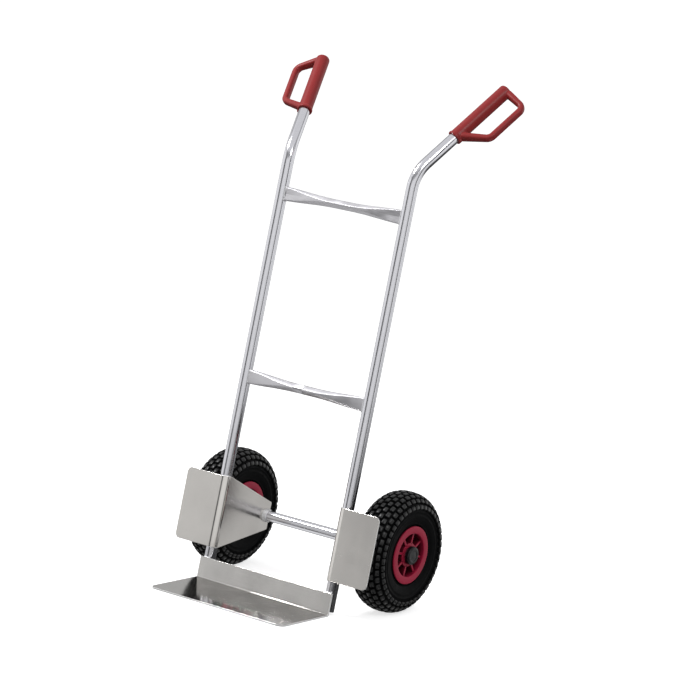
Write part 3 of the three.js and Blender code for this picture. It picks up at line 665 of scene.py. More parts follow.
def tread_tree():
    """Blocks in staggered rows over the crown of a tyre; the input is one block on its base."""
    tree, given = new_tree(
        "Tread blocks",
        {"Blocks": 44, "Rows": 9, "Ring": 0.087, "Height": 0.042, "Width": 0.04, "Power": 0.8,
         "First row": 0.224, "Row growth": 1.22},
    )
    blocks, rows, ring = numbers(tree, given, "Blocks", "Rows", "Ring")
    width, height, power = numbers(tree, given, "Width", "Height", "Power")
    first_row, growth = numbers(tree, given, "First row", "Row growth")
    points = add(tree, "GeometryNodePoints", {"Count": blocks * rows})
    index, = numbers(tree, add(tree, "GeometryNodeInputIndex").outputs, 0)
    row = (index / blocks).of("FLOOR")
    from_middle = row - (rows - 1.0) * 0.5
    side = from_middle.of("SIGN")
    # rows lie closer in angle near the crown's middle, so that they are evenly spaced on it
    slope = from_middle.of("ABSOLUTE") ** growth * first_row
    sine, cosine = slope.of("SINE"), slope.of("COSINE")
    # each row is staggered by half a block against the last
    turn = (index + row * 0.5) * (2 * pi / blocks)
    turn_sine, turn_cosine = turn.of("SINE"), turn.of("COSINE")
    out = cosine ** power * height + ring
    place = vector(tree, sine ** power * width * side, out * turn_cosine, out * turn_sine)
    lean_out = cosine ** (2.0 - power) * width
    lean_x = sine ** (2.0 - power) * height * side
    normal = vector(tree, lean_x, lean_out * turn_cosine, lean_out * turn_sine)
    tangent = vector(tree, 0.0, turn_sine * -1.0, turn_cosine)
    upright = add(tree, "FunctionNodeAlignRotationToVector", {"Vector": normal}, axis="Z")
    aligned = add(
        tree, "FunctionNodeAlignRotationToVector",
        {"Rotation": upright.outputs[0], "Vector": tangent}, axis="Y", pivot_axis="Z",
    )
    placed = add(tree, "GeometryNodeSetPosition", {"Geometry": points.outputs[0], "Position": place})
    copies = add(
        tree, "GeometryNodeInstanceOnPoints",
        {"Points": placed.outputs[0], "Instance": given["Geometry"], "Rotation": aligned.outputs[0]},
    )
    return end_tree(tree, given, copies.outputs[0])


def weld_tree():
    """A bead along a line, with the ripples of a hand-laid weld and a seeded unevenness."""
    tree, given = new_tree("Weld bead", {"Radius": 0.002, "Ripple": 0.0016, "Step": 0.0004, "Seed": 4})
    curve = add(tree, "GeometryNodeMeshToCurve", {"Mesh": given["Geometry"]})
    fine = add(
        tree, "GeometryNodeResampleCurve", {"Curve": curve.outputs[0], "Length": given["Step"]},
        mode="LENGTH",
    )
    along, = numbers(tree, add(tree, "GeometryNodeSplineParameter").outputs, "Length")
    wave = (along * (2 * pi) / given["Ripple"]).of("SINE")
    uneven = add(tree, "FunctionNodeRandomValue", {2: 0.9, 3: 1.08, "Seed": given["Seed"]}).outputs[1]
    ripple = wave.of("ABSOLUTE") * 0.22 + 0.8
    ring = add(tree, "GeometryNodeCurvePrimitiveCircle", {"Resolution": 10, "Radius": given["Radius"]})
    bead = add(
        tree, "GeometryNodeCurveToMesh",
        {"Curve": fine.outputs[0], "Profile Curve": ring.outputs["Curve"],
         "Scale": ripple * uneven, "Fill Caps": True},
    )
    return end_tree(tree, given, bead.outputs[0])


@cache
def tree_of(maker):
    """A geometry tree, made once and shared."""
    return maker()


def tube_along(name, points, radius, facets, wall, material):
    """The mesh of a round tube along a line of points, with its wall."""
    made = grown(
        name, line_mesh(name, points), swept_tube_tree, Radius=radius, Facets=facets, Material=material
    )
    merge_doubles(plain_mesh(made, keep=True))
    pipe = made.modifiers.new("wall", "SOLIDIFY")
    pipe.thickness = wall
    pipe.offset = -1
    # both ends are deburred
    bevelled(made, 0.0003, limit=50)
    mesh = plain_mesh(made)
    smooth(mesh)
    return mesh


def ring_of(name, mesh, copies, first, material):
    """The mesh of copies of one shape round the X axis; first is the angle of the first copy."""
    return plain_mesh(grown(name, mesh, ring_of_copies_tree, Count=copies, First=first, Material=material))


# ------------------------------------------------------------------ materials


def new_surface(name, colour_value, metallic, roughness, **sockets):
    """A material with its shader; gives the material, its tree and the shader node."""
    material = bpy.data.materials.new(name)
    material.use_nodes = True
    tree = material.node_tree
    shader = tree.nodes["Principled BSDF"]
    shader.inputs["Base Color"].default_value = (*colour_value, 1)
    shader.inputs["Metallic"].default_value = metallic
    shader.inputs["Roughness"].default_value = roughness
    for key, value in sockets.items():
        shader.inputs[key.replace("_", " ")].default_value = value
    return material, tree, shader


def mapped(tree, place, scale, turn=(0, 0, 0)):
    return add(tree, "ShaderNodeMapping", {"Vector": place, "Rotation": turn, "Scale": scale}).outputs[0]


def object_space(tree, scale=(1, 1, 1), turn=(0, 0, 0)):
    """Object coordinates, turned and scaled."""
    return mapped(tree, add(tree, "ShaderNodeTexCoord").outputs["Object"], scale, turn)


def noise(tree, vector, scale, detail=3.0, rough=0.5):
    return add(
        tree, "ShaderNodeTexNoise",
        {"Vector": vector, "Scale": scale, "Detail": detail, "Roughness": rough},
    ).outputs["Fac"]


def spread(tree, value, low, high, from_low=0.3, from_high=0.7):
    """A pattern's value stretched from one range to another."""
    return add(
        tree, "ShaderNodeMapRange",
        {"Value": value, "From Min": from_low, "From Max": from_high, "To Min": low, "To Max": high},
    ).outputs[0]


def roughened(tree, shader, *patterns):
    """Sets the shader's roughness to the sum of one or more patterns."""
    total = patterns[0]
    for pattern in patterns[1:]:
        total = calc(tree, "ADD", total, pattern)
    tree.links.new(total, shader.inputs["Roughness"])


def tinted(tree, shader, value, first, second):
    """Colours the shader between two colours by a pattern."""
    mix = add(tree, "ShaderNodeMix", {"Factor": value}, data_type="RGBA")
    mix.inputs[6].default_value = (*first, 1)
    mix.inputs[7].default_value = (*second, 1)
    tree.links.new(mix.outputs[2], shader.inputs["Base Color"])


def darker(colour_value, share):
    return tuple(c * share for c in colour_value)


def bumped(tree, shader, height, distance):
    bump = add(tree, "ShaderNodeBump", {"Height": height, "Distance": distance, "Strength": 1.0})
    tree.links.new(bump.outputs[0], shader.inputs["Normal"])


def drawn_aluminium(name, colour_value, base=0.13):
    """Drawn aluminium tube, polished with a belt: a mirror with fine lines along the tube."""
    material, tree, shader = new_surface(name, colour_value, 1.0, base)
    space = add(tree, "ShaderNodeAttribute", attribute_name=TUBE_SPACE).outputs["Vector"]
    # draw lines 0.4 mm apart and about 80 mm long, as coarse as they need to be to show
    lines = noise(tree, mapped(tree, space, (1, 1, 0.005)), 2400)
    # belt marks a few millimetres apart, round the tube
    belt = noise(tree, mapped(tree, space, (0.3, 0.3, 1)), 420, 4)
    clouds = noise(tree, space, 28, 2)
    roughened(
        tree, shader, spread(tree, lines, base - 0.03, base + 0.06), spread(tree, clouds, -0.015, 0.05)
    )
    tinted(tree, shader, spread(tree, belt, 0, 1), darker(colour_value, 0.94), colour_value)
    bumped(tree, shader, calc(tree, "ADD", lines, calc(tree, "MULTIPLY", belt, 0.5)), 0.00004)
    return material


def rolled_aluminium(name, colour_value, base, stretch):
    """Rolled aluminium sheet as it leaves the mill: fine lines, soft clouds and handling marks."""
    material, tree, shader = new_surface(name, colour_value, 1.0, base)
    # rolling lines about 0.5 mm apart, long in the rolling direction
    lines = noise(tree, object_space(tree, stretch), 1900, 3)
    clouds = noise(tree, object_space(tree), 11, 3, 0.5)
    # stray scratches, some tens of millimetres long
    marks = noise(tree, object_space(tree, (0.04, 1, 1), (0.2, 0.3, 0.5)), 700, 2)
    roughened(
        tree, shader, spread(tree, lines, base - 0.04, base + 0.05), spread(tree, clouds, -0.03, 0.06),
        spread(tree, marks, 0, 0.10, 0.66, 0.72),
    )
    tinted(tree, shader, spread(tree, clouds, 0, 1), darker(colour_value, 0.88), colour_value)
    bumped(tree, shader, lines, 0.000012)
    return material


def pressed_aluminium(name, colour_value):
    """Aluminium tube pressed cold in a die: dull creases over a half-bright drawn skin."""
    material, tree, shader = new_surface(name, colour_value, 0.9, 0.36)
    lines = noise(tree, object_space(tree, (0.01, 1, 1)), 1500, 3)
    patches = noise(tree, object_space(tree, (0.5, 1, 1)), 45, 3, 0.5)
    roughened(tree, shader, spread(tree, lines, 0.28, 0.36), spread(tree, patches, 0, 0.12))
    tinted(tree, shader, spread(tree, patches, 0, 1), darker(colour_value, 0.84), colour_value)
    bumped(tree, shader, calc(tree, "ADD", lines, patches), 0.00003)
    return material


def sheared_aluminium(name, colour_value):
    """The bright bare edge that a shear and a file leave on aluminium sheet."""
    material, tree, shader = new_surface(name, colour_value, 0.35, 0.3)
    marks = noise(tree, object_space(tree, (1, 1, 0.2)), 800, 3)
    roughened(tree, shader, spread(tree, marks, 0.24, 0.42))
    tinted(tree, shader, spread(tree, marks, 0, 1), darker(colour_value, 0.92), colour_value)
    bumped(tree, shader, marks, 0.00005)
    return material


def weld_metal(name, colour_value):
    """Aluminium weld metal as laid: bright, matt and slightly frosted."""
    material, tree, shader = new_surface(name, colour_value, 0.8, 0.4)
    grain = noise(tree, object_space(tree), 900, 4)
    roughened(tree, shader, spread(tree, grain, 0.38, 0.6))
    tinted(tree, shader, spread(tree, grain, 0, 1), darker(colour_value, 0.8), colour_value)
    bumped(tree, shader, grain, 0.0001)
    return material


def moulded_plastic(name, colour_value, base, leather=0.00006, grain=0.0016, shine=0.3, painted_shade_depth=0.0):
    """Moulded thermoplastic: an even colour, a fine eroded skin, a soft gloss and, where asked, painted
    shade in its pockets.
    """
    material, tree, shader = new_surface(
        name, colour_value, 0.0, base, IOR=1.5, Specular_IOR_Level=shine
    )
    # skin of the mould, cells of the given grain in metres
    cells = noise(tree, object_space(tree), 1 / grain, 4, 0.6)
    flow = noise(tree, object_space(tree, (1, 1, 0.4)), 24, 3)
    roughened(
        tree, shader, spread(tree, cells, base - 0.05, base + 0.06), spread(tree, flow, -0.02, 0.05)
    )
    shade, dark = spread(tree, flow, 0, 1), 0.86
    if painted_shade_depth:
        # painted shade: an ambient occlusion mask darkens the pockets, to the given depth in metres
        painted_pocket_shade = add(tree, "ShaderNodeAmbientOcclusion", samples=8)
        painted_pocket_shade.inputs["Distance"].default_value = painted_shade_depth
        clear = spread(tree, painted_pocket_shade.outputs["AO"], 0, 1, 0.3, 0.8)
        shade, dark = calc(tree, "MULTIPLY", spread(tree, flow, 0.9, 1), clear), 0.16
    tinted(tree, shader, shade, darker(colour_value, dark), colour_value)
    bumped(tree, shader, cells, leather)
    return material


def vulcanised_rubber(name, colour_value):
    """Carbon-black tyre rubber: near black and dull, smoother where it has rolled, and painted greyer there,
    partly for wear and partly as a painted highlight.
    """
    material, tree, shader = new_surface(name, colour_value, 0.0, 0.6, IOR=1.52)
    wear_and_sheen = add(tree, "ShaderNodeAttribute", attribute_name=WEAR_AND_SHEEN).outputs["Fac"]
    pits = noise(tree, object_space(tree), 900, 4, 0.6)
    dust = noise(tree, object_space(tree), 60, 4, 0.6)
    roughened(
        tree, shader, spread(tree, pits, 0.42, 0.6), spread(tree, dust, -0.04, 0.12),
        calc(tree, "MULTIPLY", wear_and_sheen, -0.2),
    )
    tree.links.new(spread(tree, wear_and_sheen, 0.05, 0.42, 0, 1), shader.inputs["Specular IOR Level"])
    # painted highlight: the block tops are painted a lighter grey, partly for wear and partly in place of
    # the lamp's sheen
    painted_sheen_and_wear = calc(tree, "MULTIPLY", wear_and_sheen, spread(tree, dust, 0.15, 1.0, 0.35, 0.7))
    tinted(tree, shader, painted_sheen_and_wear, darker(colour_value, 0.8), tuple(c + 0.008 for c in colour_value))
    bumped(tree, shader, calc(tree, "ADD", pits, dust), 0.00012)
    return material


def machined_metal(name, colour_value, base, pitch=0.0006):
    """Turned or plated metal: fine tool marks and a slightly mottled skin."""
    material, tree, shader = new_surface(name, colour_value, 1.0, base)
    marks = noise(tree, object_space(tree, (1, 0.2, 0.2)), 1 / pitch, 3)
    mottle = noise(tree, object_space(tree), 160, 3)
    roughened(
        tree, shader, spread(tree, marks, base - 0.05, base + 0.08), spread(tree, mottle, -0.03, 0.06)
    )
    tinted(tree, shader, spread(tree, mottle, 0, 1), darker(colour_value, 0.82), colour_value)
    bumped(tree, shader, marks, 0.00004)
    return material


FINISHES = {
    "tube": lambda c: drawn_aluminium("Polished drawn aluminium tube", c.tube),
    "bracket": lambda c: rolled_aluminium("Mill finish aluminium sheet", c.sheet, 0.14, (1, 1, 0.006)),
    "toe": lambda c: rolled_aluminium("Bright rolled aluminium plate", c.plate, 0.1, (0.006, 1, 1)),
    "bar": lambda c: pressed_aluminium("Cold pressed aluminium tube", c.bar),
    "edge": lambda c: sheared_aluminium("Sheared aluminium edge", c.edge),
    "weld": lambda c: weld_metal("Aluminium weld metal as laid", c.weld),
    "grip": lambda c: moulded_plastic("Moulded polypropylene brick red", c.grip, 0.36),
    # the rim's pockets get painted shade
    "rim": lambda c: moulded_plastic("Moulded polyamide crimson", c.rim, 0.4, shine=0.25, painted_shade_depth=0.03),
    "rubber": lambda c: vulcanised_rubber("Vulcanised tyre rubber", c.rubber),
    "butyl": lambda c: moulded_plastic("Moulded butyl rubber", c.rubber, 0.6, 0.0001, 0.003),
    "steel": lambda c: machined_metal("Cold drawn steel", c.steel, 0.3),
    "zinc": lambda c: machined_metal("Bright zinc plated steel", c.zinc, 0.26),
    "brass": lambda c: machined_metal("Turned brass", c.brass, 0.24),
    "black": lambda c: moulded_plastic("Moulded polyethylene black", c.black, 0.28),
}


@cache
def finish_of(name):
    """A material, made once and shared."""
    return FINISHES[name](settings().finish)


# ------------------------------------------------------------------ operators


class BuildSideTubes(bpy.types.Operator):
    """Bends the two side tubes, from the floor to the grips"""

    bl_idname = "hand_truck.side_tubes"
    bl_label = "Side Tubes"

    def execute(self, context):
        own = settings().tube
        path = path_stations([FOOT, HANDLE_CORNER, HANDLE_END], [own.bend_radius], steps=24)
        mesh = tube_along(
            "side_tube", [point for point, _ in path], own.radius, own.facets, own.wall, finish_of("tube")
        )
        pair("side_tube", mesh, finish_of("tube"), "frame", ["{side}_side_tube"])
        return {"FINISHED"}


def crossbar_section(own, x, dent=0.0, step=0.0):
    """Outline of a crossbar's section at a distance from its middle: (behind, up) points."""
    share = min(max((abs(x) - own.flat / 2) / (TUBE_X - own.flat / 2), 0), 1)
    # the change from end to middle starts and ends gently
    share -= 0.08 * sin(2 * pi * share)

    def between(middle, end):
        return middle + (end - middle) * share

    depth = between(own.middle_depth, own.end_depth) / 2
    height = between(own.middle_height, own.end_height) / 2
    # upright flats fill the ends, level flats fill the middle, with a crease on each side
    upright = between(own.nose, own.end_height / 2 - own.end_fold)
    level = between(own.middle_depth / 2 - own.middle_fold, own.end_depth / 2 - own.end_fold)
    groove = dent * max(0.0, 2 * share - 1)
    # left of the middle the nose slopes back to a step
    depth -= step * max(0.0, 1 + 2 * x / own.flat) if x < 0 else 0.0
    corners = [
        (-level, -height), (level, -height), (depth, -upright), (depth, upright),
        (level, height), (-level, height), (-depth, upright), (groove - depth, 0.0), (-depth, -upright),
    ]
    return rounded(corners, [own.crease] * 7 + [own.crease / 2, own.crease], steps=3)


def crossbar_height(node):
    """Height of a crossbar's middle line along the leaning tubes."""
    return sum(mast_extent(node, 2)) / 2


class BuildCrossbars(bpy.types.Operator):
    """Presses both crossbars and copes them to the side tubes"""

    bl_idname = "hand_truck.crossbars"
    bl_label = "Crossbars"

    def execute(self, context):
        own = settings().crossbar
        reach = settings().tube.radius + GAP
        for node, dent, step in (
            ("lower_crossbar", 0.0, own.step), ("upper_crossbar", own.dent, own.step / 2),
        ):
            along = crossbar_height(node)
            rings = []
            for i in range(own.stations + 1):
                x = TUBE_X * (2 * i / own.stations - 1)
                ring = []
                for v, s in crossbar_section(own, x, dent, step):
                    limit = TUBE_X - sqrt(reach ** 2 - min(abs(v), reach * 0.999) ** 2)
                    ring.append(MAST @ Vector((max(-limit, min(limit, x)), v, along + s)))
                rings.append(ring)
            mesh = loft(node, rings)
            smooth(mesh, 16)
            piece(f"{node}_pressed", mesh, finish_of("bar"), "frame", [node])
        return {"FINISHED"}


def running_lengths(path):
    """Length along a path up to each of its stations."""
    lengths = [0.0]
    for (first, _), (second, _) in zip(path, path[1:]):
        lengths.append(lengths[-1] + (second - first).length)
    return lengths


def bent_sheet(name, outline, path, place, thickness, edge):
    """A sheet cut to an outline of (length along the path, height) and bent along the path."""
    lengths = running_lengths(path)
    bm = bmesh.new()
    bm.faces.new([bm.verts.new((s, z, 0)) for s, z in outline])
    for cut in lengths[1:-1]:
        bmesh.ops.bisect_plane(
            bm, geom=bm.verts[:] + bm.edges[:] + bm.faces[:], dist=1e-7,
            plane_co=(cut, 0, 0), plane_no=(1, 0, 0),
        )
    for vertex in bm.verts:
        s, z, _ = vertex.co
        k = max(i for i in range(len(lengths) - 1) if lengths[i] <= s + 1e-7 or i == 0)
        point = path[k][0].lerp(path[k + 1][0], (s - lengths[k]) / (lengths[k + 1] - lengths[k]))
        vertex.co = place(point, z)
    mesh = bpy.data.meshes.new(name)
    bm.to_mesh(mesh)
    bm.free()
    made = make_object(name, mesh)
    for finish in ("bracket", "edge"):
        mesh.materials.append(finish_of(finish))
    sheet = made.modifiers.new("sheet", "SOLIDIFY")
    sheet.thickness = thickness
    sheet.offset = 0
    sheet.use_even_offset = True
    sheet.material_offset_rim = 1
    bevelled(made, edge, segments=3, limit=40)
    mesh = plain_mesh(made)
    smooth(mesh, 60)
    keep_flats(mesh, 2 * thickness)
    return mesh


class BuildToePlate(bpy.types.Operator):
    """Folds the toe plate up against the front of the side tubes"""

    bl_idname = "hand_truck.toe_plate"
    bl_label = "Toe Plate"

    def execute(self, context):
        own = settings().sheet
        low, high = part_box("toe_plate")
        half_width = high.x
        middle = settings().tube.radius + GAP + own.toe / 2
        top = MAST @ Vector((0, -middle, mast_extent("toe_plate", 2)[1]))
        fold = top - ALONG * ((top.z - own.toe / 2) / ALONG.z)
        front = Vector((0, low.y, own.toe / 2))
        path = path_stations([front, fold, top], [own.toe_fold], steps=10)
        total = running_lengths(path)[-1]
        outline = rounded(
            [(0, -half_width), (total, -half_width), (total, half_width), (0, half_width)],
            [own.toe_corner, own.top_corner, own.top_corner, own.toe_corner], steps=10,
        )
        mesh = bent_sheet(
            "toe_plate", outline, path, lambda point, x: Vector((x, point.y, point.z)), own.toe, own.edge
        )
        piece(
            "folded_toe_plate", mesh, (finish_of("toe"), finish_of("edge")), "frame",
            ["toe_plate"],
        )
        return {"FINISHED"}


def bracket_path(own):
    """The middle line of a bracket's section in the leaning frame, and its gusset's slant."""
    node = "right_wheel_bracket"
    middle = settings().tube.radius + GAP + own.bracket / 2
    rear = mast_extent(node, 1)[1]
    rear_x = mast_extent(node, 0)[0] - TUBE_X
    slant = 0.0
    # the slant shifts the bend that it starts from, so the two settle in a few rounds
    for _ in range(40):
        inner_x = -middle * (1 - sin(slant)) / cos(slant)
        slant = atan((inner_x - rear_x - own.bracket / 2 * cos(slant)) / (rear + middle))
    inner_x = -middle * (1 - sin(slant)) / cos(slant)
    corners = [
        Vector((mast_extent(node, 0)[1], -middle, 0)),
        Vector((TUBE_X + inner_x, -middle, 0)),
        Vector((TUBE_X + inner_x - (rear + middle) * tan(slant), rear, 0)),
    ]
    return path_stations(corners, [middle], steps=16), slant, rear


class BuildBrackets(bpy.types.Operator):
    """Folds the two wheel brackets round the side tubes, back to the axle"""

    bl_idname = "hand_truck.brackets"
    bl_label = "Wheel Brackets"

    def execute(self, context):
        own = settings().sheet
        path, slant, rear = bracket_path(own)
        low, high = mast_extent("right_wheel_bracket", 2)
        total = running_lengths(path)[-1]

        def along(y):
            """Developed length of a place on the gusset, from how far behind the tubes it is."""
            return total - (rear - y) / cos(slant)

        notch = settings().tube.axle_radius + 2 * GAP
        axle_y, axle_z = AXLE_ON_MAST.y, AXLE_ON_MAST.z
        half_turn = 14
        arc = [
            (along(axle_y - notch * sin(pi * k / half_turn)), axle_z - notch * cos(pi * k / half_turn))
            for k in range(half_turn + 1)
        ]
        rear_low, rear_high = axle_z - own.rear_below, axle_z + own.rear_above
        radii = [own.bracket_corner, own.bend_corner, own.rear_corner]
        body = rounded(
            [(0, low), (along(0), low), (total, rear_low), (total, rear_high), (along(0), high), (0, high)],
            radii + radii[::-1], steps=7,
        )
        split = next(i for i, (s, z) in enumerate(body) if s > total - 0.01 and z > axle_z)
        outline = (
            body[:split] + [(total, axle_z - notch)] + arc + [(total, axle_z + notch)] + body[split:]
        )
        mesh = bent_sheet(
            "wheel_bracket", outline, path,
            lambda point, z: MAST @ Vector((point.x, point.y, z)), own.bracket, own.edge,
        )
        pair(
            "folded_bracket", mesh, (finish_of("bracket"), finish_of("edge")), "frame",
            ["{side}_wheel_bracket"],
        )
        return {"FINISHED"}


def at_axle(mesh, x=AXLE.x):
    """Moves a mesh made round the X axis to the axle, by default to the right wheel's middle."""
    mesh.transform(Matrix.Translation((x, AXLE.y, AXLE.z)))
    return mesh


class BuildAxle(bpy.types.Operator):
    """Sets the axle tube between the brackets and the steel rod through it"""

    bl_idname = "hand_truck.axle"
    bl_label = "Axle"

    def execute(self, context):
        own = settings().tube
        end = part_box("axle_tube")[1].x
        points = [Vector((end * (k / 8 - 1), AXLE.y, AXLE.z)) for k in range(17)]
        mesh = tube_along("axle_tube", points, own.axle_radius, own.facets, own.axle_wall, finish_of("tube"))
        piece("axle_tube_polished", mesh, finish_of("tube"), "frame", ["axle_tube"])

        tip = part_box("axle_rod")[1].x
        edge = 0.0012  # chamfer of the rod's ends
        profile = [
            (0.0, -tip), (own.rod_radius - edge, -tip), (own.rod_radius, edge - tip),
            (own.rod_radius, tip - edge), (own.rod_radius - edge, tip), (0.0, tip),
        ]
        rod = at_axle(lathe("axle_rod", profile, 48), 0)
        smooth(rod)
        piece("axle_rod_turned", rod, finish_of("steel"), "frame", ["axle_rod"])
        return {"FINISHED"}


def grip_place():
    """The right grip's own frame: X along it from its open end, Y towards the guard."""
    own = settings().grip
    level_out = ALONG_HANDLE.cross(UP).normalized()
    guard_out = Matrix.Rotation(own.guard_tilt, 3, ALONG_HANDLE) @ level_out
    axes = (ALONG_HANDLE, guard_out, ALONG_HANDLE.cross(guard_out))
    place = Matrix(axes).transposed().to_4x4()
    return Matrix.Translation(HANDLE_END - ALONG_HANDLE * own.overlap) @ place


class BuildGrips(bpy.types.Operator):
    """Moulds the two grips, each in one piece with its knuckle guard"""

    bl_idname = "hand_truck.grips"
    bl_label = "Grips"

    def execute(self, context):
        own = settings().grip
        bore = settings().tube.radius + GAP
        end = own.length
        dome = [
            (own.radius - own.dome + own.dome * sin(radians(a)), end - own.dome + own.dome * cos(radians(a)))
            for a in range(90, -1, -9)
        ]
        collar = own.radius + own.collar_rise
        body = lathe(
            "grip",
            [(0.0, own.overlap + GAP), (bore, own.overlap + GAP), (bore, 0.0), (collar - 0.0006, 0.0),
             (collar, 0.0006), (collar, own.collar), (own.radius, own.collar + own.collar_rise)]
            + dome + [(0.0, end)],
            64,
        )
        root = (bore + own.radius) / 2
        # the guard: a slanting lower strut, a straight rail and a short upper strut
        corners = [
            Vector((own.low_root, root - 0.002, 0)), Vector((own.low_corner, own.guard_reach, 0)),
            Vector((own.high_corner, own.guard_reach, 0)), Vector((own.high_root, root - 0.002, 0)),
        ]
        path = path_stations(corners, [own.guard_corner, own.guard_corner], steps=10)
        rings = []
        for point, tangent in path:
            side = Vector((-tangent.y, tangent.x, 0))
            # the struts widen towards the grip
            near = max(0.0, 1 - (point.y - root) / 0.03)
            half_thick = own.guard_thickness / 2 * (1 + 0.15 * near)
            half_wide = own.guard_width / 2 * (1 + 0.2 * near)
            rings.append([
                point + side * a + Vector((0, 0, b))
                for a, b in oval(half_thick, half_wide, own.guard_squareness, 20)
            ])
        guard = loft("guard", rings)
        half_lug = own.lug_width / 2
        lug_section = ((0, -half_lug), (own.collar, -half_lug), (own.collar, half_lug), (0, half_lug))
        lug = [[Vector((x, y, z)) for x, z in lug_section] for y in (root, own.lug_reach)]
        whole = merged("grip", [body, guard, loft("lug", lug)])
        made = make_object("grip", whole)
        one = made.modifiers.new("one", "REMESH")
        one.mode = "VOXEL"
        one.voxel_size = own.skin
        soft = made.modifiers.new("soft", "SMOOTH")
        soft.factor = 0.5
        soft.iterations = 5
        mesh = plain_mesh(made)
        mesh.transform(grip_place())
        mesh.shade_smooth()
        pair("moulded_grip", mesh, finish_of("grip"), "frame", ["{side}_grip"])
        return {"FINISHED"}


class BuildTyres(bpy.types.Operator):
    """Moulds the tyres with their sidewall rings and block treads"""

    bl_idname = "hand_truck.tyres"
    bl_label = "Tyres"

    def execute(self, context):
        own = settings().wheel
        low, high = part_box("right_tyre")
        wheel_radius = (high.z - low.z) / 2
        half = (high.x - low.x) / 2
        bead_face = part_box("right_rim_outer_half")[1].x - AXLE.x - own.lip - GAP
        tuck = 0.0088  # height of a bead, and reach of the section's oval below the bead seats
        ring = (wheel_radius + own.seat_radius - tuck) / 2
        rise = wheel_radius - ring
        side_room = 0.0016  # for the rings on the sidewalls, inside the tyre's width
        skin_rise, skin_half = rise - own.carcass_drop, half - side_room
        over_lip = own.lip_radius + 2 * GAP
        bead_seat = own.seat_radius + GAP

        def arch(height, width, lowest, steps, ribs=()):
            """Points of the tyre's section from side to side; ribs are (angle, height, width)."""
            limit = acos((lowest - ring) / height)
            points = []
            for i in range(steps + 1):
                turn = limit * (2 * i / steps - 1)
                proud = sum(
                    size * max(0, 1 - abs(abs(turn) - radians(place)) / radians(wide))
                    for place, size, wide in ribs
                )
                up, out = cos(turn), abs(sin(turn))
                if up > 0:
                    up, out = up ** (2 / own.squareness), out ** (2 / own.squareness)
                points.append((ring + (height + proud) * up, (width + proud) * (out if turn > 0 else -out)))
            return points

        ribs = [(84, 0.0011, 2.2), (92, 0.0008, 1.8), (118, 0.0012, 2.2), (127, 0.0009, 1.6)]
        outer = arch(skin_rise, skin_half, over_lip, 168, ribs)
        lining = arch(rise - own.crown, half - own.sidewall, bead_seat + tuck, 48)
        profile = (
            [(bead_seat, -bead_face), (over_lip, -bead_face)] + outer
            + [(over_lip, bead_face), (bead_seat, bead_face), (bead_seat, bead_face - 0.008)]
            + lining[::-1] + [(bead_seat, 0.008 - bead_face)]
        )
        carcass = lathe("tyre", profile, 144)
        smooth(carcass, 50)

        # one block: a chamfered rubber lug that stands on the carcass
        cut = 0.0012  # chamfer of the block's top and corners, and its depth in the carcass
        wide, long = own.block_width / 2, own.block_length / 2
        levels = (
            (wide, long, -cut), (wide, long, own.carcass_drop * 0.72),
            (wide - cut, long - cut, own.carcass_drop),
        )
        rings = [
            [
                Vector((x, y, z)) for x, y in (
                    (w, l - cut), (w - cut, l), (cut - w, l), (-w, l - cut),
                    (-w, cut - l), (cut - w, -l), (w - cut, -l), (w, cut - l),
                )
            ]
            for w, l, z in levels
        ]
        block = loft("block", rings)
        # the block tops carry the mark for wear and painted sheen
        wear_and_sheen_values = [1.0 if v.co.z > own.carcass_drop - 1e-5 else 0.0 for v in block.vertices]
        block.attributes.new(WEAR_AND_SHEEN, "FLOAT", "POINT").data.foreach_set("value", wear_and_sheen_values)
        blocks = plain_mesh(grown(
            "tread", block, tread_tree, Blocks=own.tread_blocks, Rows=own.tread_rows,
            Ring=ring, Height=skin_rise, Width=skin_half, Power=2 / own.squareness,
            Material=finish_of("rubber"),
        ))
        smooth_from = len(carcass.polygons)
        whole = merged("tyre", [carcass, blocks])
        flags = [i < smooth_from for i in range(len(whole.polygons))]
        whole.polygons.foreach_set("use_smooth", flags)
        whole.set_sharp_from_angle(angle=radians(50))
        at_axle(whole)
        pair("block_tyre", whole, finish_of("rubber"), "{side}_wheel", ["{side}_tyre"])
        return {"FINISHED"}


def rim_half(own, face):
    """One moulded rim half round the X axis: barrel, lip, hub and its spokes."""
    seat, lip = own.seat_radius, own.lip_radius
    lip_inside = face - own.lip
    spoke_face = face - own.spoke_recess
    hub_face = face - 0.0034
    wall_in = seat - own.barrel_wall
    edge = 0.0015
    profile = rounded(
        [
            (own.hub_bore, GAP / 2), (seat, GAP / 2), (seat, lip_inside), (lip, lip_inside), (lip, face),
            (wall_in, face), (wall_in - 0.0012, own.floor), (own.hub_ring, own.floor),
            (own.hub_ring - 0.0006, spoke_face), (own.hub_radius, spoke_face),
            (own.hub_radius, hub_face), (own.hub_bore, hub_face),
        ],
        [0, 0, 0.0012, 0.001, edge, edge, 0.0015, 0.0012, 0.0008, 0.0006, 0.0008, 0.0006],
        steps=4,
    )
    shell = lathe("rim", [tuple(p) for p in profile], 128)
    # one spoke: a tapered rib between the hub ring and the barrel
    half_top, half_root = own.spoke_width / 2, own.spoke_width / 2 + 0.0007
    inner, outer = own.hub_radius + 0.002, wall_in + 0.0015
    crown = 0.0007
    rings = [
        [
            Vector((own.floor - 0.001, radius, -half_root)), Vector((spoke_face - crown, radius, -half_top)),
            Vector((spoke_face, radius, crown - half_top)), Vector((spoke_face, radius, half_top - crown)),
            Vector((spoke_face - crown, radius, half_top)), Vector((own.floor - 0.001, radius, half_root)),
        ]
        for radius in (inner, outer)
    ]
    spokes = ring_of("spokes", loft("spoke", rings), own.spokes, own.first_spoke, finish_of("rim"))
    return merged("rim", [shell, spokes])


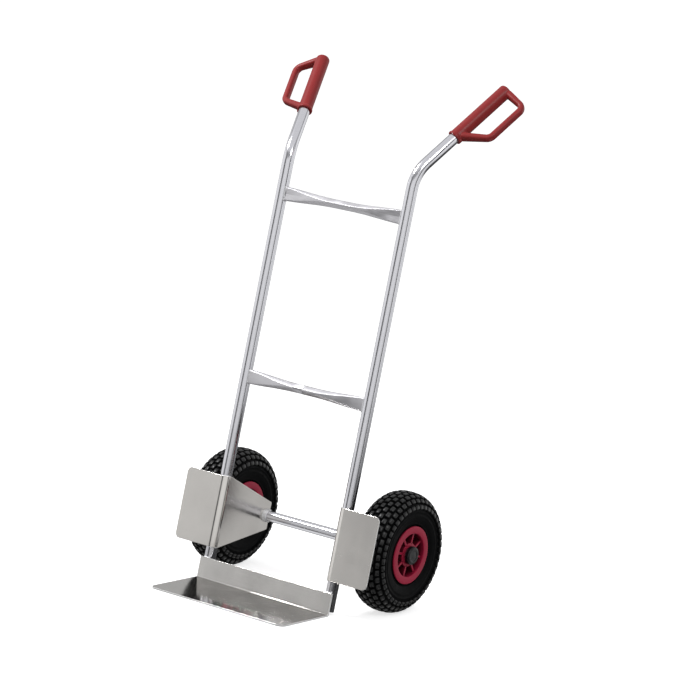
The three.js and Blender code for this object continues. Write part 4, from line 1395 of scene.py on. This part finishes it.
class BuildRims(bpy.types.Operator):
    """Moulds the bolted rim halves with their spokes"""

    bl_idname = "hand_truck.rims"
    bl_label = "Rims"

    def execute(self, context):
        own = settings().wheel
        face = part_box("right_rim_outer_half")[1].x - AXLE.x
        for half, turned_in in (("outer", False), ("inner", True)):
            mesh = rim_half(own, face)
            if turned_in:
                mesh = mirrored(mesh)
            at_axle(mesh)
            smooth(mesh, 30)
            pair(
                f"rim_{half}", mesh, finish_of("rim"), "{side}_wheel",
                ["{side}_rim_" + half + "_half"],
            )
        return {"FINISHED"}


def hexagonal(name, flats, start, end, hole, chamfer):
    """A hexagon along X with turned-off corners, and a bore where it is a nut."""
    corner = flats / sqrt(3)
    facets = 48
    rings = []
    sweep = 1 if end > start else -1
    for radius_cut, x in ((0, start), (0, end - chamfer * sweep), (chamfer * 1.6, end)):
        ring = []
        for k in range(facets):
            turn = 2 * pi * k / facets
            to_flat = flats / 2 / cos((turn + pi / 6) % (pi / 3) - pi / 6)
            radius = min(to_flat, corner - radius_cut)
            ring.append(Vector((x, radius * cos(turn), radius * sin(turn))))
        rings.append(ring)
    if not hole:
        return loft(name, rings)
    bore = [[Vector((x, hole * cos(2 * pi * k / facets), hole * sin(2 * pi * k / facets)))
             for k in range(facets)] for x in (end, start)]
    vertices = [point for ring in rings + bore for point in ring]
    return new_mesh(name, vertices, grid_faces(5, facets, True, True))


class BuildFasteners(bpy.types.Operator):
    """Bolts the rim halves together with hexagon bolts and nuts"""

    bl_idname = "hand_truck.fasteners"
    bl_label = "Rim Bolts and Nuts"

    def execute(self, context):
        own = settings().wheel
        out = Matrix.Translation((0, own.bolt_circle, 0))
        seat = own.floor + GAP
        shank_r, flats, head, nut = 0.003, 0.010, 0.004, 0.005
        tip = -(seat + nut + 0.0015)
        turns, thread_length = 9, 0.0075
        thread = [
            (shank_r if k % 2 else shank_r - 0.0004, tip + 0.0005 + (thread_length * k / (turns * 2)))
            for k in range(turns * 2 + 1)
        ]
        shank = lathe(
            "shank", [(0.0, tip), (shank_r - 0.0008, tip)] + thread
            + [(shank_r, -own.floor + 0.002), (shank_r, seat + head / 2), (0.0, seat + head / 2)], 24,
        )
        washer_face = lathe(
            "flange", [(shank_r - 0.0002, seat), (flats / 2 + 0.0002, seat),
                       (flats / 2 + 0.0002, seat + 0.0006), (shank_r - 0.0002, seat + 0.0006)], 32,
        )
        bolt = merged("bolt", [shank, washer_face, hexagonal("head", flats, seat, seat + head, 0, 0.0005)])
        nut_mesh = hexagonal("nut", flats, -seat, -seat - nut, shank_r + GAP, 0.0005)
        first = own.first_spoke + pi / own.spokes
        for kind, mesh in (("rim_bolt", bolt), ("rim_nut", nut_mesh)):
            mesh.transform(out)
            ring = ring_of(f"{kind}s", mesh, own.bolts, first, finish_of("zinc"))
            merge_doubles(ring, outwards=False)
            at_axle(ring)
            smooth(ring, 28)
            nodes = ["{side}_" + f"{kind}_{i + 1}" for i in range(own.bolts)]
            pair(f"{kind}s", ring, finish_of("zinc"), "{side}_wheel", nodes)
        return {"FINISHED"}


class BuildValves(bpy.types.Operator):
    """Turns the valve stems and moulds their caps; the inner tubes keep their own shape"""

    bl_idname = "hand_truck.valves"
    bl_label = "Valves and Inner Tubes"

    def execute(self, context):
        own = settings().wheel
        low, high = (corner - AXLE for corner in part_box("right_valve_stem"))
        place_x = (low.x + high.x) / 2
        # the valve stands midway between two spokes
        turn = own.first_spoke + (5 + 0.5) * 2 * pi / own.spokes
        outwards = Vector((0, cos(turn), sin(turn)))
        axes = Matrix((outwards, ACROSS, outwards.cross(ACROSS))).transposed().to_4x4()
        place = Matrix.Translation(AXLE + Vector((place_x, 0, 0))) @ axes

        stem_r, thread_r, shoulder, tip, top = 0.004, 0.0029, 0.038, 0.032, own.seat_radius + 2 * GAP
        rings = [(thread_r if k % 2 else thread_r - 0.0003, tip + 0.0004 * k) for k in range(1, 14)]
        stem = lathe(
            "valve_stem",
            [(0.0, tip), (thread_r - 0.0004, tip)] + rings
            + [(thread_r, shoulder), (stem_r - 0.0006, shoulder), (stem_r, shoulder + 0.0006),
               (stem_r, top), (0.0, top)],
            32,
        )
        cap_r, mouth = 0.0044, shoulder - GAP
        cap_end = mouth - 0.0085
        bore, seat = thread_r + GAP, tip - GAP
        profile = [(0.0, cap_end), (cap_r - 0.0014, cap_end), (cap_r - 0.0004, cap_end + 0.0012),
                   (cap_r, cap_end + 0.0024), (cap_r, mouth - 0.0004), (cap_r - 0.0004, mouth),
                   (bore, mouth), (bore, seat), (0.0, seat)]
        cap = lathe("valve_cap", profile, 48)
        # moulded grip ribs round the cap
        for vertex in cap.vertices:
            radius = hypot(vertex.co.y, vertex.co.z)
            if radius > cap_r - 0.0003:
                step = round(12 * (1 + atan2(vertex.co.z, vertex.co.y) / pi))
                if step % 2:
                    vertex.co.y *= 0.94
                    vertex.co.z *= 0.94
        for node, name, mesh, finish, slot in (
            ("valve_stem", "valve_stem_turned", stem, "brass", "brass"),
            ("valve_cap", "valve_cap_ribbed", cap, "black", "black_plastic"),
        ):
            mesh.transform(place)
            smooth(mesh, 30)
            pair(name, mesh, finish_of(finish), "{side}_wheel", ["{side}_" + node])
        for side in SIDES:
            own_mesh = frame["nodes"][f"{side}_inner_tube"].data
            own_mesh.materials.clear()
            own_mesh.materials.append(finish_of("butyl"))
        return {"FINISHED"}


class BuildBearings(bpy.types.Operator):
    """Fits the roller cages, washers and axle caps"""

    bl_idname = "hand_truck.bearings"
    bl_label = "Bearings, Washers and Caps"

    def execute(self, context):
        own = settings().wheel
        rod = settings().tube.rod_radius
        low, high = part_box("right_roller_cage")
        end = high.x - AXLE.x
        play, ring_length = 0.00015, 0.004
        inner, outer = rod + play, own.hub_bore * cos(pi / 24) - play
        pitch, roller_r = (inner + outer) / 2, (outer - inner) / 2
        shells = []
        for start in (-end, end - ring_length):
            profile = rounded(
                [(inner + 0.00015, start), (outer, start), (outer, start + ring_length),
                 (inner + 0.00015, start + ring_length)], 0.0004, steps=2,
            )
            shells.append(lathe("cage_ring", [tuple(p) for p in profile], 48))
        stop = end - ring_length / 2
        roller = lathe("roller", [(0.0, -stop), (roller_r, -stop), (roller_r, stop), (0.0, stop)], 16)
        roller.transform(Matrix.Translation((0, pitch, 0)))
        shells.append(ring_of("rollers", roller, own.rollers, 0.0, finish_of("steel")))
        cage = at_axle(merged("cage", shells))
        smooth(cage, 30)
        body = node = "{side}_roller_cage"
        pair("roller_bearing", cage, finish_of("steel"), body, [node])

        for name in ("outer_washer", "inner_washer"):
            low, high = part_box(f"right_{name}")
            rim = own.washer_radius
            profile = rounded(
                [(rod + GAP, low.x), (rim, low.x), (rim, high.x), (rod + GAP, high.x)], 0.0003, steps=2
            )
            mesh = at_axle(lathe(name, [tuple(p) for p in profile], 64), 0)
            smooth(mesh)
            pair(f"{name}_plated", mesh, finish_of("zinc"), "frame", ["{side}_" + name])

        low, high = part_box("right_axle_cap")
        rim_r = (high.z - low.z) / 2
        start, end = low.x, high.x
        bore_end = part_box("axle_rod")[1].x + GAP
        # a cup with a rounded shoulder, a shallow dished face and a raised middle
        outline = rounded(
            [(rim_r, start), (rim_r, end - 0.0022), (rim_r - 0.0035, end - 0.0004),
             (rim_r * 0.62, end - 0.0004), (rim_r * 0.56, end - 0.0014), (rim_r * 0.3, end - 0.0012),
             (0.0, end - 0.0008)],
            [0, 0.003, 0.003, 0.001, 0.001, 0.002, 0], steps=6, closed=False,
        )
        profile = [(0.0, bore_end), (rod + GAP, bore_end), (rod + GAP, start)] + [tuple(p) for p in outline]
        cap = at_axle(lathe("axle_cap", profile, 96), 0)
        smooth(cap, 30)
        pair("domed_axle_cap", cap, finish_of("black"), "frame", ["{side}_axle_cap"])
        return {"FINISHED"}


class BuildWelds(bpy.types.Operator):
    """Lays the weld beads at the crossbars, brackets, axle and toe plate"""

    bl_idname = "hand_truck.welds"
    bl_label = "Welds"

    def execute(self, context):
        tube, bar, sheet = settings().tube, settings().crossbar, settings().sheet
        skin = tube.radius + GAP
        lines = []
        # round both ends of each crossbar
        for node in ("lower_crossbar", "upper_crossbar"):
            along = crossbar_height(node)
            seam = [
                MAST @ Vector((TUBE_X - sqrt(skin ** 2 - v ** 2), v, along + s))
                for v, s in crossbar_section(bar, TUBE_X)
            ]
            lines.append((seam, True, 0.0013))
        # round the axle tube where it lies in the gusset
        path, slant, rear = bracket_path(sheet)
        back, middle = path[-1][0], path[-2][0]
        # (distance from the gusset in sheet thicknesses, bead radius): three inside, one outside
        passes = ((-0.7, 0.0034), (-2.0, 0.0030), (-3.3, 0.0024), (0.62, 0.0018))
        for side_offset, bead_radius in passes:
            points = []
            for k in range(19):
                turn = radians(80 + 200 * k / 18)
                y = AXLE_ON_MAST.y + (tube.axle_radius + 0.0004) * cos(turn)
                z = AXLE_ON_MAST.z + (tube.axle_radius + 0.0004) * sin(turn)
                share = (y - middle.y) / (back.y - middle.y)
                x = middle.x + (back.x - middle.x) * share + side_offset * sheet.bracket
                points.append(MAST @ Vector((x, y, z)))
            lines.append((points, False, bead_radius))
        # the bracket's bend to the tube, at its top and bottom edge
        low, high = mast_extent("right_wheel_bracket", 2)
        for z in (low, high):
            seam = [
                MAST @ Vector((
                    TUBE_X - (tube.radius + 0.0006) * sin(radians(a)),
                    -(tube.radius + 0.0006) * cos(radians(a)), z,
                ))
                for a in range(10, 81, 7)
            ]
            lines.append((seam, False, 0.0013))
        # the upstand to the tube, along both sides of the contact and over its top edge
        top = mast_extent("toe_plate", 2)[1]
        for side_x in (-1, 1):
            seam = [
                MAST @ Vector((TUBE_X + side_x * 0.0052, -tube.radius * 0.915, z))
                for z in (top - 0.026, top - 0.014, top - 0.003)
            ]
            lines.append((seam, False, 0.0015))
        over = [MAST @ Vector((TUBE_X + x, -sqrt(skin ** 2 - x ** 2), top + 0.0002)) for x in
                (-0.008, -0.004, 0, 0.004, 0.008)]
        lines.append((over, False, 0.0017))

        beads = []
        for seed, (points, closed, radius) in enumerate(lines):
            mesh = plain_mesh(grown(
                "bead", line_mesh("bead", points, closed), weld_tree,
                Radius=radius, Seed=seed, Material=finish_of("weld"),
            ))
            merge_doubles(mesh)
            beads.append(mesh)
        whole = merged("beads", beads)
        whole.shade_smooth()
        pair("weld_beads", whole, finish_of("weld"), "frame", [])
        return {"FINISHED"}


class BuildStage(bpy.types.Operator):
    """Lays the pale floor and sets the soft light and the camera"""

    bl_idname = "hand_truck.stage"
    bl_label = "Floor, Light and Camera"

    def execute(self, context):
        own = settings().stage
        scene = context.scene
        half = own.floor_size / 2
        ground = bpy.data.meshes.new("floor")
        ground.from_pydata(
            [(-half, -half, 0), (half, -half, 0), (half, half, 0), (-half, half, 0)], [], [(0, 1, 2, 3)]
        )
        floor = make_object("floor", ground)
        paint, tree, shader = new_surface("Matt white painted floor", own.floor, 0.0, 0.9)
        mottle = noise(tree, object_space(tree), 6, 3)
        tinted(tree, shader, spread(tree, mottle, 0, 1), darker(own.floor, 0.985), own.floor)
        floor.data.materials.append(paint)
        shader.inputs["Emission Color"].default_value = (1, 1, 1, 1)
        shader.inputs["Emission Strength"].default_value = own.floor_glow
        floor.visible_glossy = False
        floor.visible_diffuse = False

        # soft boxes: (name, place, size, power); one over the left, one high on the right front
        for name, place, size, power in (
            ("overhead", (-2.2, -1.5, 3.4), 0.8, own.overhead), ("right", (2.7, -1.2, 2.9), 0.9, own.side),
        ):
            light = bpy.data.lights.new(name, "AREA")
            light.size = size
            light.energy = power
            lamp = bpy.data.objects.new(name, light)
            lamp.location = place
            aim = Vector((0, 0, 0.6)) - Vector(place)
            lamp.rotation_euler = aim.to_track_quat("-Z", "Y").to_euler()
            scene.collection.objects.link(lamp)

        world = bpy.data.worlds.new("studio")
        scene.world = world
        world.use_nodes = True
        build_studio(world.node_tree, own.ambient)

        camera = bpy.data.cameras.new("camera")
        camera.lens = own.lens
        camera.sensor_width = 36
        camera.clip_end = 200
        view = bpy.data.objects.new("camera", camera)
        scene.collection.objects.link(view)
        low, high = (Vector(corner) for corner in CAD_BOX)
        target = (low + high) / 2 + Vector(own.target)
        back = Vector((
            sin(own.azimuth) * cos(own.elevation), -cos(own.azimuth) * cos(own.elevation), sin(own.elevation)
        ))
        right = Vector((cos(own.azimuth), sin(own.azimuth), 0))
        up = back.cross(right)
        x_axis = right * cos(own.roll) + up * sin(own.roll)
        y_axis = up * cos(own.roll) - right * sin(own.roll)
        view.matrix_world = (
            Matrix.Translation(target + back * own.distance)
            @ Matrix((x_axis, y_axis, back)).transposed().to_4x4()
        )
        scene.camera = view
        scene.view_settings.view_transform = "Standard"
        return {"FINISHED"}


# Studio walls: (compass angle in degrees from the load side, brightness)
WALLS = (
    (-180, 0.8), (-172, 0.5), (-112, 0.5), (-104, 1.0), (-38, 1.0), (-35.6, 0.56), (-28, 0.5),
    (-23, 0.06), (-11, 0.06), (-5, 0.76), (20, 0.94), (62, 0.88), (75, 0.6), (79, 0.08), (89, 0.08),
    (94, 1.0), (118, 1.0), (122, 0.62), (130, 0.62), (134, 1.0), (165, 1.0), (172, 0.8),
)
# Studio by height: (elevation in degrees, brightness), with gaps between floor, walls and ceiling
LEVELS = (
    (-90, 0.06), (-70, 0.08), (-64, 0.9), (-42, 0.9), (-37, 0.06), (-21, 0.06), (-15, 0.9), (0, 1.0),
    (22, 1.0), (27, 0.45), (36, 0.45), (41, 1.0),
)


def filled_ramp(tree, value, stops, place):
    """A colour ramp through grey stops; place turns a stop's angle into 0..1."""
    node = add(tree, "ShaderNodeValToRGB", {"Fac": value})
    elements = node.color_ramp.elements
    while len(elements) < len(stops):
        elements.new(0.5)
    for element, (where, brightness) in zip(elements, stops):
        element.position = place(where)
        element.color = (brightness, brightness, brightness, 1)
    return node.outputs[0]


def build_studio(tree, ambient):
    """A white studio whose soft boxes leave dark gaps between them, by compass direction."""
    tree.nodes.clear()
    direction = add(tree, "ShaderNodeTexCoord").outputs["Generated"]
    x, y, z = numbers(tree, add(tree, "ShaderNodeSeparateXYZ", {0: direction}).outputs, 0, 1, 2)
    around = x.of("ARCTAN2", y * -1.0) / (2 * pi) + 0.5
    walls = filled_ramp(tree, around, WALLS, lambda a: a / 360 + 0.5)
    levels = filled_ramp(tree, z * 0.5 + 0.5, LEVELS, lambda a: sin(radians(a)) / 2 + 0.5)
    over = add(tree, "ShaderNodeMix", {"Factor": spread(tree, z, 0, 1, 0.35, 0.6)}, data_type="RGBA")
    tree.links.new(walls, over.inputs[6])
    over.inputs[7].default_value = (0.8, 0.8, 0.81, 1)
    shade = add(tree, "ShaderNodeMix", {"Factor": 1.0}, data_type="RGBA", blend_type="MULTIPLY")
    tree.links.new(over.outputs[2], shade.inputs[6])
    tree.links.new(levels, shade.inputs[7])
    rays = add(tree, "ShaderNodeLightPath").outputs
    open_air = add(tree, "ShaderNodeMix", {"Factor": rays["Is Camera Ray"]}, data_type="RGBA")
    tree.links.new(shade.outputs[2], open_air.inputs[6])
    open_air.inputs[7].default_value = (1, 1, 1, 1)
    direct, glossy = numbers(tree, rays, "Is Camera Ray", "Is Glossy Ray")
    strength = direct.of("MAXIMUM", glossy) * (1 - ambient) + ambient
    light = add(tree, "ShaderNodeBackground", {"Color": open_air.outputs[2], "Strength": strength})
    add(tree, "ShaderNodeOutputWorld", {"Surface": light.outputs[0]})


OPERATORS = (
    BuildSideTubes, BuildCrossbars, BuildToePlate, BuildBrackets, BuildAxle, BuildGrips, BuildTyres,
    BuildRims, BuildFasteners, BuildValves, BuildBearings, BuildWelds, BuildStage,
)


class HandTruckPanel(bpy.types.Panel):
    """Lists the steps that build the hand truck"""

    bl_idname = "VIEW3D_PT_hand_truck"
    bl_label = "Hand Truck"
    bl_space_type = "VIEW_3D"
    bl_region_type = "UI"
    bl_category = "Hand Truck"

    def draw(self, context):
        column = self.layout.column(align=True)
        for operator in OPERATORS:
            column.operator(operator.bl_idname)
        for group in ("tube", "crossbar", "sheet", "grip", "wheel", "finish", "stage"):
            box = self.layout.box()
            box.label(text=group.title())
            own = getattr(context.scene.hand_truck, group)
            for key in own.bl_rna.properties.keys():
                if key not in ("rna_type", "name"):
                    box.prop(own, key)


CLASSES = (
    TubeSettings, CrossbarSettings, SheetSettings, GripSettings, WheelSettings, FinishSettings,
    StageSettings, TruckSettings, *OPERATORS, HandTruckPanel,
)


def register():
    for cls in CLASSES:
        bpy.utils.register_class(cls)
    bpy.types.Scene.hand_truck = PointerProperty(type=TruckSettings)


def unregister():
    del bpy.types.Scene.hand_truck
    for cls in reversed(CLASSES):
        bpy.utils.unregister_class(cls)


def main():
    register()
    for operator in OPERATORS:
        area, name = operator.bl_idname.split(".")
        getattr(getattr(bpy.ops, area), name)()


if __name__ == "__main__":
    main()
